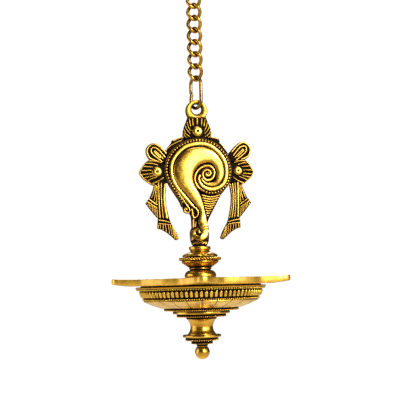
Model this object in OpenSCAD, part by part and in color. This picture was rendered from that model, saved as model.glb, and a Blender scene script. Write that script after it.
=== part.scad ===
// Hanging chain oil lamp in cast and turned brass, millimetres.
// The origin is where the hook bears on whatever holds it up; +Z is up and the conch faces -Y.

/* [Hook] */
// thickness of the hook's wire
hook_wire = 3.2; // [2.4:0.1:4]
// inside radius of the open crook
crook_inner = 7; // [5.5:0.5:9]
// inside radius of the closed lower loop
loop_inner = 4.4; // [3.6:0.2:6]
// how far round the crook is bent, degrees
crook_bend = 255; // [235:5:265]

/* [Chain] */
// thickness of the chain's wire
link_wire = 2.7; // [2.2:0.1:2.9]
// outside width of a link
link_width = 12.7; // [12:0.1:14]
// outside length of a link
link_length = 15.6; // [15.2:0.1:18]
// how far each end of a link is twisted out of its plane, degrees
link_twist = 45; // [40:1:50]
// how far each link is turned against the next one, degrees
link_turn = 4; // [0:0.5:5]
// play between two links, and between a link and what hangs on it
link_gap = 0.15; // [0.1:0.05:0.4]

/* [Joining link] */
// thickness of the long open link's wire
joining_wire = 2.7; // [2.2:0.1:2.9]
// outside length of the long link
joining_length = 28.6; // [26:0.2:34]
// outside width of the long link
joining_width = 15.6; // [14.8:0.2:18]
// how far the long link is turned from the plaque's own axis, degrees
joining_turn = 35; // [30:1:40]
// width of the slit where its two wire ends meet
joining_slit = 0.5; // [0.3:0.1:1]

/* [Plaque] */
// outer radius of the round conch disc; the plaque's outline grows with it
disc_radius = 27; // [25:0.5:30]
// thickness of the plaque's web
plate_thick = 4; // [3:0.2:5]
// thickness of the hanging eye
eye_thick = 5.6; // [4.8:0.2:6]
// outer radius of the hanging eye
eye_outer = 9; // [8.2:0.1:10]
// bore radius of the hanging eye
eye_bore = 4.5; // [4.4:0.05:4.8]
// chamfer on the eye's edges
eye_chamfer = 1.2; // [1:0.05:1.3]
// height of the wire's centre above the bore's centre
eye_lift = 1.4; // [1.2:0.05:1.5]
// greatest thickness of the shell's big whorl
whorl_thick = 14; // [11:0.5:17]
// thickness across the smooth rib beside the whorl
rib_thick = 8; // [6.5:0.25:9]
// thickness across the beaded border
border_thick = 6.8; // [5.5:0.2:8]
// thickness of the front ribbons
ribbon_thick = 3.6; // [2.6:0.2:4.4]
// radius of the bulb under the shell
bulb_radius = 8.2; // [7.4:0.2:9]

/* [Stem] */
// radius of the tie stud that holds the stack together
stud_radius = 2; // [1.6:0.1:2.4]
// play between the stud and what slides on it
stud_gap = 0.15; // [0.1:0.05:0.3]
// height of the upper bell with its collar
bell_height = 9; // [8:0.2:11]
// radius of the collar on the upper bell
collar_radius = 8.7; // [8:0.1:9.6]
// radius of the upper bell's lip
bell_radius = 14.4; // [13:0.2:15]
// height of the rope ring
rope_height = 2.4; // [2:0.1:3]
// outer radius of the rope ring
rope_radius = 17.1; // [16.2:0.1:19]
// height of the lower cup
cup_height = 7.8; // [7:0.2:9]
// radius of the lower cup's lip
cup_radius = 14.9; // [13.4:0.2:15.4]
// height of the knob from its seat to its top
knob_height = 15.4; // [14:0.2:18]
// greatest radius of the knob
knob_radius = 12.7; // [11:0.2:14]

/* [Oil dish] */
// number of wick lips
lips = 5; // [5:1:7]
// radius out to a lip's nose
lip_radius = 73; // [70:1:80]
// radius of the rim between the lips
rim_radius = 56; // [54:0.5:58]
// thickness of the rim
rim_thick = 5.3; // [4.5:0.1:6]
// radius of a lip's rounded nose
nose_radius = 5; // [4:0.25:6]
// how far the dish is turned against the plaque, degrees
dish_turn = -8; // [-20:1:20]
// radius of the oil well
well_radius = 40; // [36:0.5:41]
// depth of the oil well
well_depth = 10; // [9:0.25:11]
// thickness of the well's wall and floor
well_wall = 2; // [1.6:0.1:2.4]
// width of a wick channel
channel_width = 4.5; // [3.5:0.25:6]
// thickness of the fibre washer that seals the well
washer_thick = 1; // [0.8:0.1:1.4]

/* [Bowl] */
// height of the bowl under the rim
bowl_height = 17.9; // [17.2:0.2:21]
// outer radius of the bowl's beaded top ring
ring_radius = 51.7; // [50.6:0.1:53]
// radius of the petalled band at its top
petal_radius = 49.4; // [48.6:0.1:50.2]
// radius where the slope ends
slope_radius = 31.4; // [30:0.2:34]
// play between the well and the bowl it sits in
well_gap = 0.6; // [0.3:0.1:1]

/* [Foot] */
// radius of the first stepped disc
step1_radius = 29.8; // [28:0.2:29.8]
// radius of the second stepped disc
step2_radius = 22.8; // [22:0.2:25]
// radius of the third stepped disc
step3_radius = 19.8; // [18.6:0.2:21]
// height of the three stepped discs together
steps_height = 8.2; // [7.4:0.2:10]
// height of the waisted spool
spool_height = 13.3; // [11:0.2:16]
// radius of the spool's waist
waist_radius = 9; // [7.5:0.25:10]
// radius of the foot's collar
foot_radius = 15.3; // [14:0.1:17]
// height of the foot's collar and its two steps
foot_height = 7.9; // [7:0.1:9.5]
// radius of the ball at the bottom
ball_radius = 5.9; // [5.2:0.1:7]

/* [Hidden] */
$fn = 96;
// half lengths of a link's wire along and across the chain
link_b = (link_length - link_wire) / 2;
link_a = (link_width - link_wire) / 2;
link_pitch = 2 * link_b - link_wire - link_gap;
// centres of the hook's two bends and of their wire
crook_r = crook_inner + hook_wire / 2;
loop_r = loop_inner + hook_wire / 2;
crook_z = -crook_inner;
loop_z = crook_z - crook_r - loop_r;
// centre of the uppermost link, then of link n, counted from the hook
first_z = loop_z - loop_r + (hook_wire + link_wire) / 2 + link_gap - link_b;
function link_z(n) = first_z - (n - 1) * link_pitch;
function turn(n) = -link_turn * max(0, 7 - n);
// long link: its bends' radius, its top and bottom wire
joining_r = (joining_width - joining_wire) / 2;
joining_leg = joining_length - joining_width;
joining_top = link_z(8) - link_b + (link_wire + joining_wire) / 2 + link_gap;
joining_bottom = joining_top - joining_length + joining_wire;
// plaque
s = disc_radius / 27;
eye_z = joining_bottom - eye_lift;
disc_z = eye_z - 49.8 * s;
neck_z = disc_z - 60.8 * s;
// stack on the stud, from the plaque's foot down
bell_z = neck_z - bell_height;
rope_z = bell_z - rope_height;
cup_z = rope_z - cup_height;
floor_z = cup_z - knob_height - washer_thick;
rim_z = floor_z + well_depth;
under_z = rim_z - rim_thick;
bowl_z = under_z - bowl_height;
steps_z = bowl_z - steps_height;
spool_z = steps_z - spool_height;
foot_z = spool_z - foot_height;
ball_z = foot_z - 1.4 - ball_radius * 0.76;
stud_bore = stud_radius + stud_gap;
stud_top = neck_z + 14;
stud_end = ball_z - 1;

// a smooth line through hand-set points, n steps to a span
function spline(p0, p1, p2, p3, t) = 0.5 * (2 * p1 + (p2 - p0) * t + (2 * p0 - 5 * p1 + 4 * p2 - p3) * t * t
    + (3 * p1 - p0 - 3 * p2 + p3) * t * t * t);
function smooth_line(p, n) = let (e = len(p) - 1) concat(
    [for (i = [0:e - 1]) for (j = [0:n - 1])
        spline(p[max(i - 1, 0)], p[i], p[i + 1], p[min(i + 2, e)], j / n)],
    [p[e]]);
function flat_normal(q, i) = let (
    d = q[min(i + 1, len(q) - 1)] - q[max(i - 1, 0)],
    l = sqrt(d[0] * d[0] + d[1] * d[1])) [-d[1] / l, d[0] / l];
// the two edges of a band whose half width is the third value of each point
function band(q) = concat(
    [for (i = [0:len(q) - 1]) [q[i][0], q[i][1]] + q[i][2] * flat_normal(q, i)],
    [for (i = [len(q) - 1:-1:0]) [q[i][0], q[i][1]] - q[i][2] * flat_normal(q, i)]);
function widened(p, w) = [for (a = p) [a[0], a[1], w]];

// border and rib run up the left side, over the top and into the spiral
border_line = [[-14.3, -25.5], [-18.3, -20.1], [-22.2, -13.9], [-24.9, -7.7], [-26, 0.3], [-24.3, 8.8], [-19, 16.7],
    [-11, 22], [-2.2, 24.5], [6, 24], [13.6, 21.2], [19.9, 16], [24.1, 8.6], [25.8, 0], [24.7, -6.9], [22, -12.2],
    [17.4, -16.5], [10.6, -18.6], [4.3, -17], [-0.5, -13.2], [-3.2, -8.3], [-2.8, -3.6], [-0.4, 0.4], [3.2, 3],
    [7.1, 4], [10.9, 2.6], [13.2, -1.2]];
rib_line = [[-4.6, -29], [-9, -24], [-15.3, -16.5], [-20.2, -7.8], [-22.1, 0.4], [-20.6, 7.7], [-16.5, 13.9],
    [-9.5, 19], [0, 21.1], [10.1, 19.4], [17.3, 14.1], [21.6, 7.4], [22.9, 0], [21.7, -6.7], [18, -12.2],
    [11.3, -15.2], [5.2, -13.9], [1.2, -10.6], [0.3, -7.2]];
// the shell's whorl from its inner end round and down to the bulb, with its half width
horn_line = [[6, -10.8, 0.5], [9.3, -11.7, 1.3], [13.4, -10.2, 2.1], [16.8, -6.5, 2.8], [17.7, -0.4, 3.2],
    [15.7, 6.4, 4], [11.2, 11.6, 5.4], [4.2, 13, 6.4], [-3.1, 11.1, 7], [-8.9, 7.2, 7.3], [-11.8, 1.6, 7.1],
    [-11.7, -5, 6.6], [-9.7, -11.5, 5.7], [-6.2, -17.8, 4.9], [-2.6, -23.6, 3.9], [0, -29, 3], [1.6, -35, 2.7],
    [2.2, -41, 3], [2, -47, 3.6]];

// a flat shape in the plaque's plane, with equal thickness to the front and the back
module slab(thick) {
    rotate([90, 0, 0]) linear_extrude(height = thick, center = true) scale([s, s]) children();
}
module both_sides() {
    children();
    mirror([1, 0]) children();
}
// a turned piece, bored for the stud
module turned(profile) {
    difference() {
        rotate_extrude() polygon(concat([[0, profile[0][1]]], profile, [[0, profile[len(profile) - 1][1]]]));
        translate([0, 0, profile[len(profile) - 1][1] - 1])
            cylinder(r = stud_bore, h = profile[0][1] - profile[len(profile) - 1][1] + 2);
    }
}

// open crook above, closed loop below, one wire bent as an S
module hanging_hook() {
    color("goldenrod") rotate([0, 0, 45 + turn(1)]) {
        translate([0, 0, crook_z]) rotate([90, 0, 0]) rotate([0, 0, 270 - crook_bend])
            rotate_extrude(angle = crook_bend) translate([crook_r, 0]) circle(d = hook_wire);
        translate([0, 0, crook_z]) rotate([0, crook_bend - 270, 0]) translate([crook_r, 0, 0])
            sphere(d = hook_wire * 1.3);
        translate([0, 0, crook_z - crook_r]) sphere(d = hook_wire * 1.4);
        translate([0, 0, loop_z]) rotate([90, 0, 0]) rotate([0, 0, 150])
            rotate_extrude(angle = 300) translate([loop_r, 0]) circle(d = hook_wire);
    }
}

// oval of round wire, twisted about its length so that its two ends cross its neighbours square
function link_point(a) = let (f = -link_twist * sin(a)) [
    link_a * cos(a) * cos(f), link_a * cos(a) * sin(f), link_b * sin(a)];
module chain_link(n) {
    around = 32;
    sides = 10;
    points = [for (i = [0:around - 1]) let (
        a = 360 * i / around,
        p = link_point(a),
        d = link_point(a + 1) - link_point(a - 1),
        t = d / norm(d),
        o = p - (p * t) * t,
        u = o / norm(o),
        v = cross(t, u))
        for (j = [0:sides - 1]) p + link_wire / 2 * (u * cos(360 * j / sides) + v * sin(360 * j / sides))];
    faces = [for (i = [0:around - 1]) for (j = [0:sides - 1]) let (
        k = (i + 1) % around,
        m = (j + 1) % sides,
        q = [i * sides + j, k * sides + j, k * sides + m, i * sides + m])
        for (tri = [[q[0], q[1], q[2]], [q[0], q[2], q[3]]]) tri];
    color("gold") translate([0, 0, link_z(n)]) rotate([0, 0, turn(n)])
        polyhedron(points = points, faces = faces, convexity = 6);
}

// long open link of round wire, its two ends meeting half way down one leg
module joining_link() {
    color("goldenrod") translate([0, 0, (joining_top + joining_bottom) / 2]) rotate([0, 0, joining_turn - 90])
        difference() {
            union() {
                for (up = [0, 1]) mirror([0, 0, up]) translate([0, 0, -joining_leg / 2]) rotate([90, 0, 0])
                    rotate([0, 0, 180]) rotate_extrude(angle = 180) translate([joining_r, 0])
                        circle(d = joining_wire);
                for (side = [-1, 1]) translate([side * joining_r, 0, -joining_leg / 2])
                    cylinder(d = joining_wire, h = joining_leg);
            }
            translate([-joining_r, 0, 0]) rotate([0, 25, 0])
                cube([joining_wire * 3, joining_wire * 3, joining_slit], center = true);
        }
}

// flat outlines of the plaque's pieces, about the disc's centre
module web_outline() {
    circle(r = 26.6);
    polygon([[-26.8, -4], [-23.4, -12], [-17.6, -21.6], [-12.4, -29.6], [-11.2, -33], [-7, -34.6], [-6.9, -46],
        [5.9, -46], [6.2, -43], [7.4, -37.6], [18.6, -20.6], [24, -10], [25, 0]]);
    polygon([[-11, 22], [-10.9, 27], [-10.9, 30], [-9.4, 36], [-6.7, 43.4], [6.7, 43.4], [9.4, 36], [10.9, 30],
        [10.9, 27], [11, 22]]);
    both_sides() {
        polygon([[8, 20], [9, 27.4], [11.5, 27.2], [18.4, 25.4], [19.8, 22.6], [25.9, 19.2], [30, 14], [30, 8],
            [20, 10]]);
        polygon([[22, 8], [39.2, 7.8], [42.8, 5], [45.8, 1.2], [46.6, -1], [45.8, -3], [43.6, -6], [38.4, -11],
            [32, -13.2], [24, -9]]);
        ear(5.7, 12);
    }
}
module ear(r, reach) {
    translate([36.8, 15.9]) rotate(48) {
        circle(r = r);
        translate([-reach, -r]) square([reach, 2 * r]);
    }
}
module ribbon_outline() {
    polygon([[26.4, -8], [26.4, -18], [26.2, -27.5], [24.7, -36.5], [23, -41.9], [17, -54.6], [18.6, -55.8],
        [22.8, -50.6], [28, -47.6], [33.7, -46.1], [33.4, -36.8], [32.7, -24], [33, -8]]);
}
module back_ribbon_outline() {
    polygon([[30, -9], [36, -9], [40, -22], [43.2, -26.2], [38, -31], [34, -37.4], [31, -37.4]]);
}
// rays of a palmette, fanned about a point
module rays(count, spread, inner, outer, half) {
    for (i = [0:count - 1]) rotate((i / (count - 1) - 0.5) * spread)
        polygon([[inner, -half * 0.6], [outer, -half], [outer + half, 0], [outer, half], [inner, half * 0.6]]);
}

// one casting: hanging eye, crown, conch, side palmettes, leaves and ribbons, alike on both faces
module conch_plaque() {
    color("gold") translate([0, 0, disc_z]) difference() {
        union() {
            slab(plate_thick) web_outline();
            slab(ribbon_thick) both_sides() ribbon_outline();
            slab(ribbon_thick - 1) both_sides() back_ribbon_outline();
            slab(plate_thick + 1.2) both_sides() ear(4, 9);
            slab(plate_thick + 2.2) both_sides() ear(2.2, 8);
            slab(plate_thick + 1.6) translate([0, 31]) rotate(90) rays(7, 96, 3.4, 10.5, 0.9);
            slab(plate_thick + 1.6) both_sides() translate([32.3, -0.6]) rays(7, 150, 3, 11.6, 0.9);
            slab(border_thick) polygon(band(smooth_line(widened(border_line, 1), 3)));
            slab(rib_thick) polygon(band(smooth_line(widened(rib_line, 1.05), 3)));
            slab(rib_thick - 0.6) for (i = [0:7]) translate([3.6 + i * 0.34, -20.4 - i * 2.1])
                square([14.8 - i * 1.72, 1.1]);
            intersection() {
                slab(whorl_thick + 4) polygon(band(smooth_line(horn_line, 3)));
                translate([-3 * s, 80 - whorl_thick / 2, 2 * s]) sphere(r = 80);
                translate([-3 * s, whorl_thick / 2 - 80, 2 * s]) sphere(r = 80);
            }
            intersection() {
                slab(whorl_thick - 4) polygon(band(smooth_line(horn_line, 3)));
                translate([-20 * s, -20, -50 * s]) cube([40 * s, 40, 32 * s]);
            }
            translate([0, 0, 31.4 * s]) sphere(r = 4.4 * s);
            for (side = [-1, 1]) translate([side * 32.3 * s, 0, -0.6 * s]) sphere(r = 3.9 * s);
            translate([0, 0, 48.8 * s]) rotate([90, 0, 0]) {
                cylinder(r = eye_outer, h = eye_thick - 2 * eye_chamfer, center = true);
                for (face = [0, 1]) mirror([0, 0, face]) translate([0, 0, eye_thick / 2 - eye_chamfer])
                    cylinder(r1 = eye_outer, r2 = eye_outer - eye_chamfer, h = eye_chamfer);
            }
            translate([0, 0, neck_z - disc_z]) rotate_extrude() polygon(concat(
                [[0, 0], [5.6, 0], [5.6, 1.3]],
                [for (a = [-62:8:60]) [bulb_radius * cos(a) + 0, 8.6 + 8.2 * sin(a)]],
                [[0, 17]]));
        }
        translate([0, 0, eye_z - disc_z]) rotate([90, 0, 0]) {
            cylinder(r = eye_bore, h = eye_thick * 2, center = true);
            for (face = [0, 1]) mirror([0, 0, face]) translate([0, 0, eye_thick / 2 - eye_chamfer])
                cylinder(r1 = eye_bore, r2 = eye_bore + eye_chamfer * 1.5, h = eye_chamfer * 1.5);
        }
        translate([0, 0, neck_z - disc_z - 1]) cylinder(r = stud_bore, h = 15.2);
    }
}

// rod on the lamp's axis that ties the plaque, stem, dish, bowl and foot together
module tie_stud() {
    color("silver") translate([0, 0, stud_end]) cylinder(r = stud_radius, h = stud_top - stud_end);
}

module upper_bell() {
    h = bell_height;
    color("gold") translate([0, 0, bell_z]) turned([[5.6, h], [collar_radius, h - 0.4], [collar_radius, h - 3],
        [7.6, h - 3.4], [7.8, h - 4.4], [10.4, h - 5.6], [bell_radius, 2], [bell_radius, 0.4],
        [bell_radius - 1.4, 0]]);
}

module rope_ring() {
    color("goldenrod") translate([0, 0, rope_z]) difference() {
        union() {
            cylinder(r = rope_radius - rope_height / 2, h = rope_height);
            translate([0, 0, rope_height / 2]) rotate_extrude()
                translate([rope_radius - rope_height / 2, 0]) circle(d = rope_height - 0.02);
        }
        translate([0, 0, -1]) cylinder(r = stud_bore, h = rope_height + 2);
    }
}

module lower_cup() {
    h = cup_height;
    color("gold") translate([0, 0, cup_z]) turned([[cup_radius - 1.4, h], [cup_radius, h - 0.3],
        [cup_radius, h - 2], [10.6, h - 4.2], [8.4, h - 5.6], [7.6, h - 5.9], [8.4, h - 6.2], [8.4, h - 6.9],
        [7, h - 7.1], [7, 0]]);
}

module knob() {
    h = knob_height;
    color("gold") translate([0, 0, floor_z + washer_thick]) turned(concat(
        [[6.6, h], [7.4, h - 0.4]],
        [for (a = [56:-8:-56]) [knob_radius - 4.6 + 4.6 * cos(a), h - 4.4 + 4.4 * sin(a)]],
        [[8, h - 9.4], [8.6, h - 12], [10, 1.2], [10, 0]]));
}

module seal_washer() {
    color("saddlebrown") translate([0, 0, floor_z]) difference() {
        cylinder(r = 9.4, h = washer_thick);
        translate([0, 0, -1]) cylinder(r = stud_bore, h = washer_thick + 2);
    }
}

// flat lipped rim with a shallow well in its middle and a wick channel along each lip
module lip_outline() {
    polygon([[rim_radius - 10, -17], [rim_radius - 2.4, -16.6], [rim_radius + 3.4, -12.4],
        [lip_radius - nose_radius - 5, -nose_radius - 2], [lip_radius - nose_radius, -nose_radius],
        [lip_radius - nose_radius, nose_radius], [lip_radius - nose_radius - 5, nose_radius + 2],
        [rim_radius + 3.4, 12.4], [rim_radius - 2.4, 16.6], [rim_radius - 10, 17]]);
    translate([lip_radius - nose_radius, 0]) circle(r = nose_radius);
}
module oil_dish() {
    color("gold") rotate([0, 0, dish_turn - 90]) difference() {
        union() {
            translate([0, 0, under_z]) linear_extrude(height = rim_thick) {
                circle(r = rim_radius);
                for (i = [0:lips - 1]) rotate(i * 360 / lips) lip_outline();
            }
            translate([0, 0, floor_z - well_wall])
                cylinder(r = well_radius + well_wall, h = well_depth + well_wall - rim_thick + 0.5);
        }
        translate([0, 0, floor_z]) cylinder(r = well_radius, h = well_depth + 1);
        translate([0, 0, floor_z - well_wall - 1]) cylinder(r = stud_bore, h = well_wall + 2);
        for (i = [0:lips - 1]) rotate([0, 0, i * 360 / lips])
            translate([well_radius - 4, -channel_width / 2, rim_z - 1.8])
                cube([lip_radius - well_radius - 3, channel_width, 3]);
    }
}

// ornamented shell that the dish sits in, hollow round a middle boss
module bowl() {
    h = bowl_height;
    u = h / 17.9;
    w = petal_radius / 49.4;
    color("goldenrod") translate([0, 0, bowl_z]) difference() {
        rotate_extrude() polygon([[0, 0], [slope_radius - w, 0], [slope_radius, 0.2 * u],
            [petal_radius - 3.8 * w, h - 12.6 * u], [petal_radius - 3.2 * w, h - 12.6 * u],
            [petal_radius - 3.2 * w, h - 10.6 * u], [petal_radius - 4 * w, h - 10.4 * u],
            [petal_radius - 1.7 * w, h - 10 * u], [petal_radius, h - 5 * u], [petal_radius - w, h - 4.8 * u],
            [petal_radius - w, h - 4 * u], [ring_radius - 0.6 * w, h - 3.9 * u], [ring_radius, h - 3.2 * u],
            [ring_radius, h - 1.6 * u], [ring_radius - 0.6 * w, h - 1.1 * u], [petal_radius - 1.4 * w, h - 1.1 * u],
            [petal_radius - 1.4 * w, h], [0, h]]);
        translate([0, 0, floor_z - well_wall - bowl_z])
            cylinder(r = well_radius + well_wall + well_gap, h = h);
        difference() {
            translate([0, 0, 3 * u])
                cylinder(r1 = slope_radius - 3.4 * w, r2 = well_radius, h = floor_z - well_wall - bowl_z - 2.9 * u);
            cylinder(r = 11 * w, h = h);
        }
        translate([0, 0, -1]) cylinder(r = stud_bore, h = h);
    }
}

module stepped_base() {
    h = steps_height;
    color("gold") translate([0, 0, steps_z]) turned([[step1_radius, h], [step1_radius, h - 2],
        [step2_radius - 1.4, h - 2.3], [step2_radius - 1.4, h - 3], [step2_radius, h - 3.1],
        [step2_radius, h - 5], [step3_radius - 1.4, h - 5.3], [step3_radius - 1.4, h - 6],
        [step3_radius, h - 6.1], [step3_radius, h - 7.3], [12.6, h - 7.5], [12.2, 0]]);
}

module spool() {
    h = spool_height;
    w = waist_radius / 9;
    lip = h * 0.045;
    color("gold") translate([0, 0, spool_z]) turned(concat([[12.2 * w, h], [12.2 * w, h - lip]],
        [for (i = [1:9]) let (f = i / 10) [waist_radius + w * (f < 0.56 ? 3 * pow(1 - f / 0.56, 2)
            : 2.2 * pow((f - 0.56) / 0.44, 2)), h - lip - f * (h - 2 * lip)]],
        [[11.2 * w, lip], [11.2 * w, 0]]));
}

module foot_collar() {
    h = foot_height;
    color("gold") translate([0, 0, foot_z]) turned([[foot_radius - 0.5, h], [foot_radius, h - 0.5],
        [foot_radius, h - 1.9], [foot_radius - 0.5, h - 2.4], [12.2, h - 2.6], [13.1, h - 2.9], [13.1, h - 5],
        [8, h - 5.3], [8.6, h - 5.6], [8.6, 0]]);
}

// turned ball on a short neck, tapped for the stud
module ball_finial() {
    color("gold") difference() {
        union() {
            translate([0, 0, ball_z]) sphere(r = ball_radius);
            translate([0, 0, ball_z]) cylinder(r = 4.5, h = foot_z - ball_z);
        }
        translate([0, 0, stud_end - 0.3]) cylinder(r = stud_bore, h = foot_z - stud_end + 2);
    }
}

hanging_hook();
chain_link(1);  // chain_link_1
chain_link(2);  // chain_link_2
chain_link(3);  // chain_link_3
chain_link(4);  // chain_link_4
chain_link(5);  // chain_link_5
chain_link(6);  // chain_link_6
chain_link(7);  // chain_link_7
chain_link(8);  // chain_link_8
joining_link();
conch_plaque();
tie_stud();
upper_bell();
rope_ring();
lower_cup();
knob();
seal_washer();
oil_dish();
bowl();
stepped_base();
spool();
foot_collar();
ball_finial();
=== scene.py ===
# Hanging chain oil lamp in antique brass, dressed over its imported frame.
# Pieces follow the lamp from the hook down; sizes are millimetres turned into metres as a mesh is made.
import math

import bmesh
import bpy
import numpy as np
from mathutils import Matrix, Vector


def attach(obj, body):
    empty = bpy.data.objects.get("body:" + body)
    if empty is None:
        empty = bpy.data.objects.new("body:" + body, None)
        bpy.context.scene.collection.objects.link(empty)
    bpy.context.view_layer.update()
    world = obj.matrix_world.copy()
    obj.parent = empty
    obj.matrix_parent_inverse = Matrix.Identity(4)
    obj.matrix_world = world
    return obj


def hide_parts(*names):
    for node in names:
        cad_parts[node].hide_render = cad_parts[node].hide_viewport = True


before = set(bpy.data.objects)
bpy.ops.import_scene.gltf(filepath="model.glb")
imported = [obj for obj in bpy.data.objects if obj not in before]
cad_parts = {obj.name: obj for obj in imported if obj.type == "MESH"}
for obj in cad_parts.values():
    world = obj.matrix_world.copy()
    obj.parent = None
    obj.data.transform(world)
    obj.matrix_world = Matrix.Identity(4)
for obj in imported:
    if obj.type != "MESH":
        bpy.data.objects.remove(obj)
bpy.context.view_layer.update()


# Hanging hook
# One length of round brass wire bent cold into an S: an open crook above for the ceiling hook and a
# closed loop below for the chain. The crook's end is hammered into a small ball so that it can't scratch.
MM = 0.001


def set_inputs(tree, node, inputs):
    """Links sockets and sets plain values on a node's inputs."""
    for socket, value in dict(inputs).items():
        if isinstance(value, bpy.types.NodeSocket):
            tree.links.new(value, node.inputs[socket])
        else:
            node.inputs[socket].default_value = value


def add_node(tree, kind, inputs=(), **settings):
    node = tree.nodes.new(kind)
    for key, value in settings.items():
        setattr(node, key, value)
    set_inputs(tree, node, inputs)
    return node


def made_by(tree, kind, inputs=(), **settings):
    """The first output of a new node."""
    return add_node(tree, kind, inputs, **settings).outputs[0]


def between(tree, value, low, high, to_low=0.0, to_high=1.0):
    spread = add_node(tree, "ShaderNodeMapRange", {0: value, 1: low, 2: high, 3: to_low, 4: to_high})
    spread.interpolation_type = "SMOOTHSTEP"
    return spread.outputs[0]


def worked_out(tree, operation, *values, clamp=False):
    return made_by(tree, "ShaderNodeMath", enumerate(values), operation=operation, use_clamp=clamp)


def clamped(tree, a, b, operation="MULTIPLY"):
    return worked_out(tree, operation, a, b, clamp=True)


def blend_colours(tree, share, a, b):
    mix = add_node(tree, "ShaderNodeMix", {0: share, 6: a, 7: b}, data_type="RGBA")
    return mix.outputs[2]


def new_stuff(name):
    stuff = bpy.data.materials.new(name)
    stuff.use_nodes = True
    return stuff, stuff.node_tree, stuff.node_tree.nodes["Principled BSDF"]


blackening = (0.010, 0.005, 0.0015, 1)


def aged_brass(name, bright, mellow, rough, recess, brush, soot=blackening, open_ao=0.8, shut_ao=0.35,
               rub=(0.1, 0.6), pitting=(0.24, 0.4, 0.55), lacquer=0.4):
    """Brass relieved bright on its high places, with blackening left where the cloth never reached."""
    metal, tree, skin = new_stuff(name)
    place = add_node(tree, "ShaderNodeTexCoord").outputs["Object"]

    def noise(at, scale, detail, roughness):
        size = {"Scale": scale, "Detail": detail, "Roughness": roughness}
        return made_by(tree, "ShaderNodeTexNoise", {"Vector": at, **size})

    clouds = noise(place, 130.0, 5.0, 0.62)
    flecks = noise(place, 900.0, 3.0, 0.7)
    turned = made_by(tree, "ShaderNodeMapping", {"Vector": place, "Scale": brush})
    strokes = noise(turned, 1.0, 3.0, 0.6)
    tone = blend_colours(tree, between(tree, clouds, 0.35, 0.68), bright, mellow)
    polish = add_node(tree, "ShaderNodeAttribute", attribute_name="polish").outputs["Fac"]
    hollow = add_node(tree, "ShaderNodeAmbientOcclusion", {"Distance": recess}, samples=8,
                      only_local=False).outputs["AO"]
    rubbed = clamped(tree, between(tree, polish, *rub), between(tree, hollow, shut_ao, open_ao))
    patchy = clamped(tree, rubbed, between(tree, clouds, 0.1, 0.9, -0.12, 0.12), "ADD")
    worn = between(tree, patchy, 0.12, 0.72)
    stained = clamped(tree, worn, between(tree, flecks, *pitting, 1.0))
    dull = between(tree, stained, 0.0, 1.0, 0.7, rough)
    pits = clamped(tree, strokes, clamped(tree, flecks, 0.5), "ADD")
    set_inputs(tree, skin, {
        "Base Color": blend_colours(tree, stained, soot, tone),
        "Metallic": between(tree, stained, 0.0, 0.4, 0.6, 1.0),
        "Roughness": clamped(tree, dull, between(tree, strokes, 0.3, 0.7, -0.05, 0.07), "ADD"),
        "Normal": made_by(tree, "ShaderNodeBump", {"Height": pits, "Strength": 0.28, "Distance": 0.00006}),
        "Specular IOR Level": 0.12,
        "Coat Weight": between(tree, stained, 0.5, 0.95, 0.0, lacquer),
        "Coat Roughness": 0.16})
    return metal


def smooth_line(points, steps=6, closed=False):
    """A Catmull-Rom line through given points."""
    p = np.asarray(points, float)
    n = len(p)
    line = []
    for i in range(n if closed else n - 1):
        if closed:
            a, b, c, d = (p[(i + k) % n] for k in (-1, 0, 1, 2))
        else:
            a, b, c, d = p[max(i - 1, 0)], p[i], p[i + 1], p[min(i + 2, n - 1)]
        for t in np.arange(steps) / steps:
            line.append(0.5 * (2 * b + (c - a) * t + (2 * a - 5 * b + 4 * c - d) * t * t
                               + (3 * b - a - 3 * c + d) * t ** 3))
    if not closed:
        line.append(p[-1])
    return np.array(line)


def plain_object(name, data):
    piece = bpy.data.objects.new(name, data)
    bpy.context.scene.collection.objects.link(piece)
    return piece


def baked(piece):
    """The mesh that a piece's modifiers make of it."""
    bpy.context.view_layer.update()
    return bpy.data.meshes.new_from_object(piece.evaluated_get(bpy.context.evaluated_depsgraph_get()))


def carry(mesh, name, values):
    """Stores one value on each of a mesh's points."""
    mesh.attributes.new(name, "FLOAT", "POINT").data.foreach_set("value", values)


def lines_object(name, lines):
    """A mesh of bare lines; each is a dict of points and of values that its points carry."""
    corners, edges, carried = [], [], {}
    for line in lines:
        first = len(corners)
        count = len(line["points"])
        corners += [tuple(np.asarray(q) * MM) for q in line["points"]]
        edges += [(first + i, first + i + 1) for i in range(count - 1)]
        if line.get("closed"):
            edges.append((first + count - 1, first))
        for key in ("half_width", "lift", "gain", "out", "up"):
            if key in line:
                shape = (count, 3) if key in ("out", "up") else (count,)
                carried.setdefault(key, []).append(np.broadcast_to(np.asarray(line[key], float), shape))
    mesh = bpy.data.meshes.new(name)
    mesh.from_pydata(corners, edges, [])
    for key, parts in carried.items():
        values = np.concatenate(parts)
        if values.ndim == 2:
            mesh.attributes.new(key, "FLOAT_VECTOR", "POINT").data.foreach_set("vector", values.ravel())
        else:
            carry(mesh, key, values if key == "gain" else values * MM)
    return plain_object(name, mesh)


def tree_with_inputs(name, inputs):
    tree = bpy.data.node_groups.new(name, "GeometryNodeTree")
    tree.interface.new_socket("Lines", in_out="INPUT", socket_type="NodeSocketGeometry")
    for label, kind in inputs:
        tree.interface.new_socket(label, in_out="INPUT", socket_type="NodeSocket" + kind)
    tree.interface.new_socket("Piece", in_out="OUTPUT", socket_type="NodeSocketGeometry")
    return tree, add_node(tree, "NodeGroupInput").outputs


def finish_tree(tree, piece, metal):
    smooth = made_by(tree, "GeometryNodeSetShadeSmooth", {"Geometry": piece})
    real = made_by(tree, "GeometryNodeRealizeInstances", {"Geometry": smooth})
    coated = made_by(tree, "GeometryNodeSetMaterial", {"Geometry": real, "Material": metal})
    add_node(tree, "NodeGroupOutput", {"Piece": coated})


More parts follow.
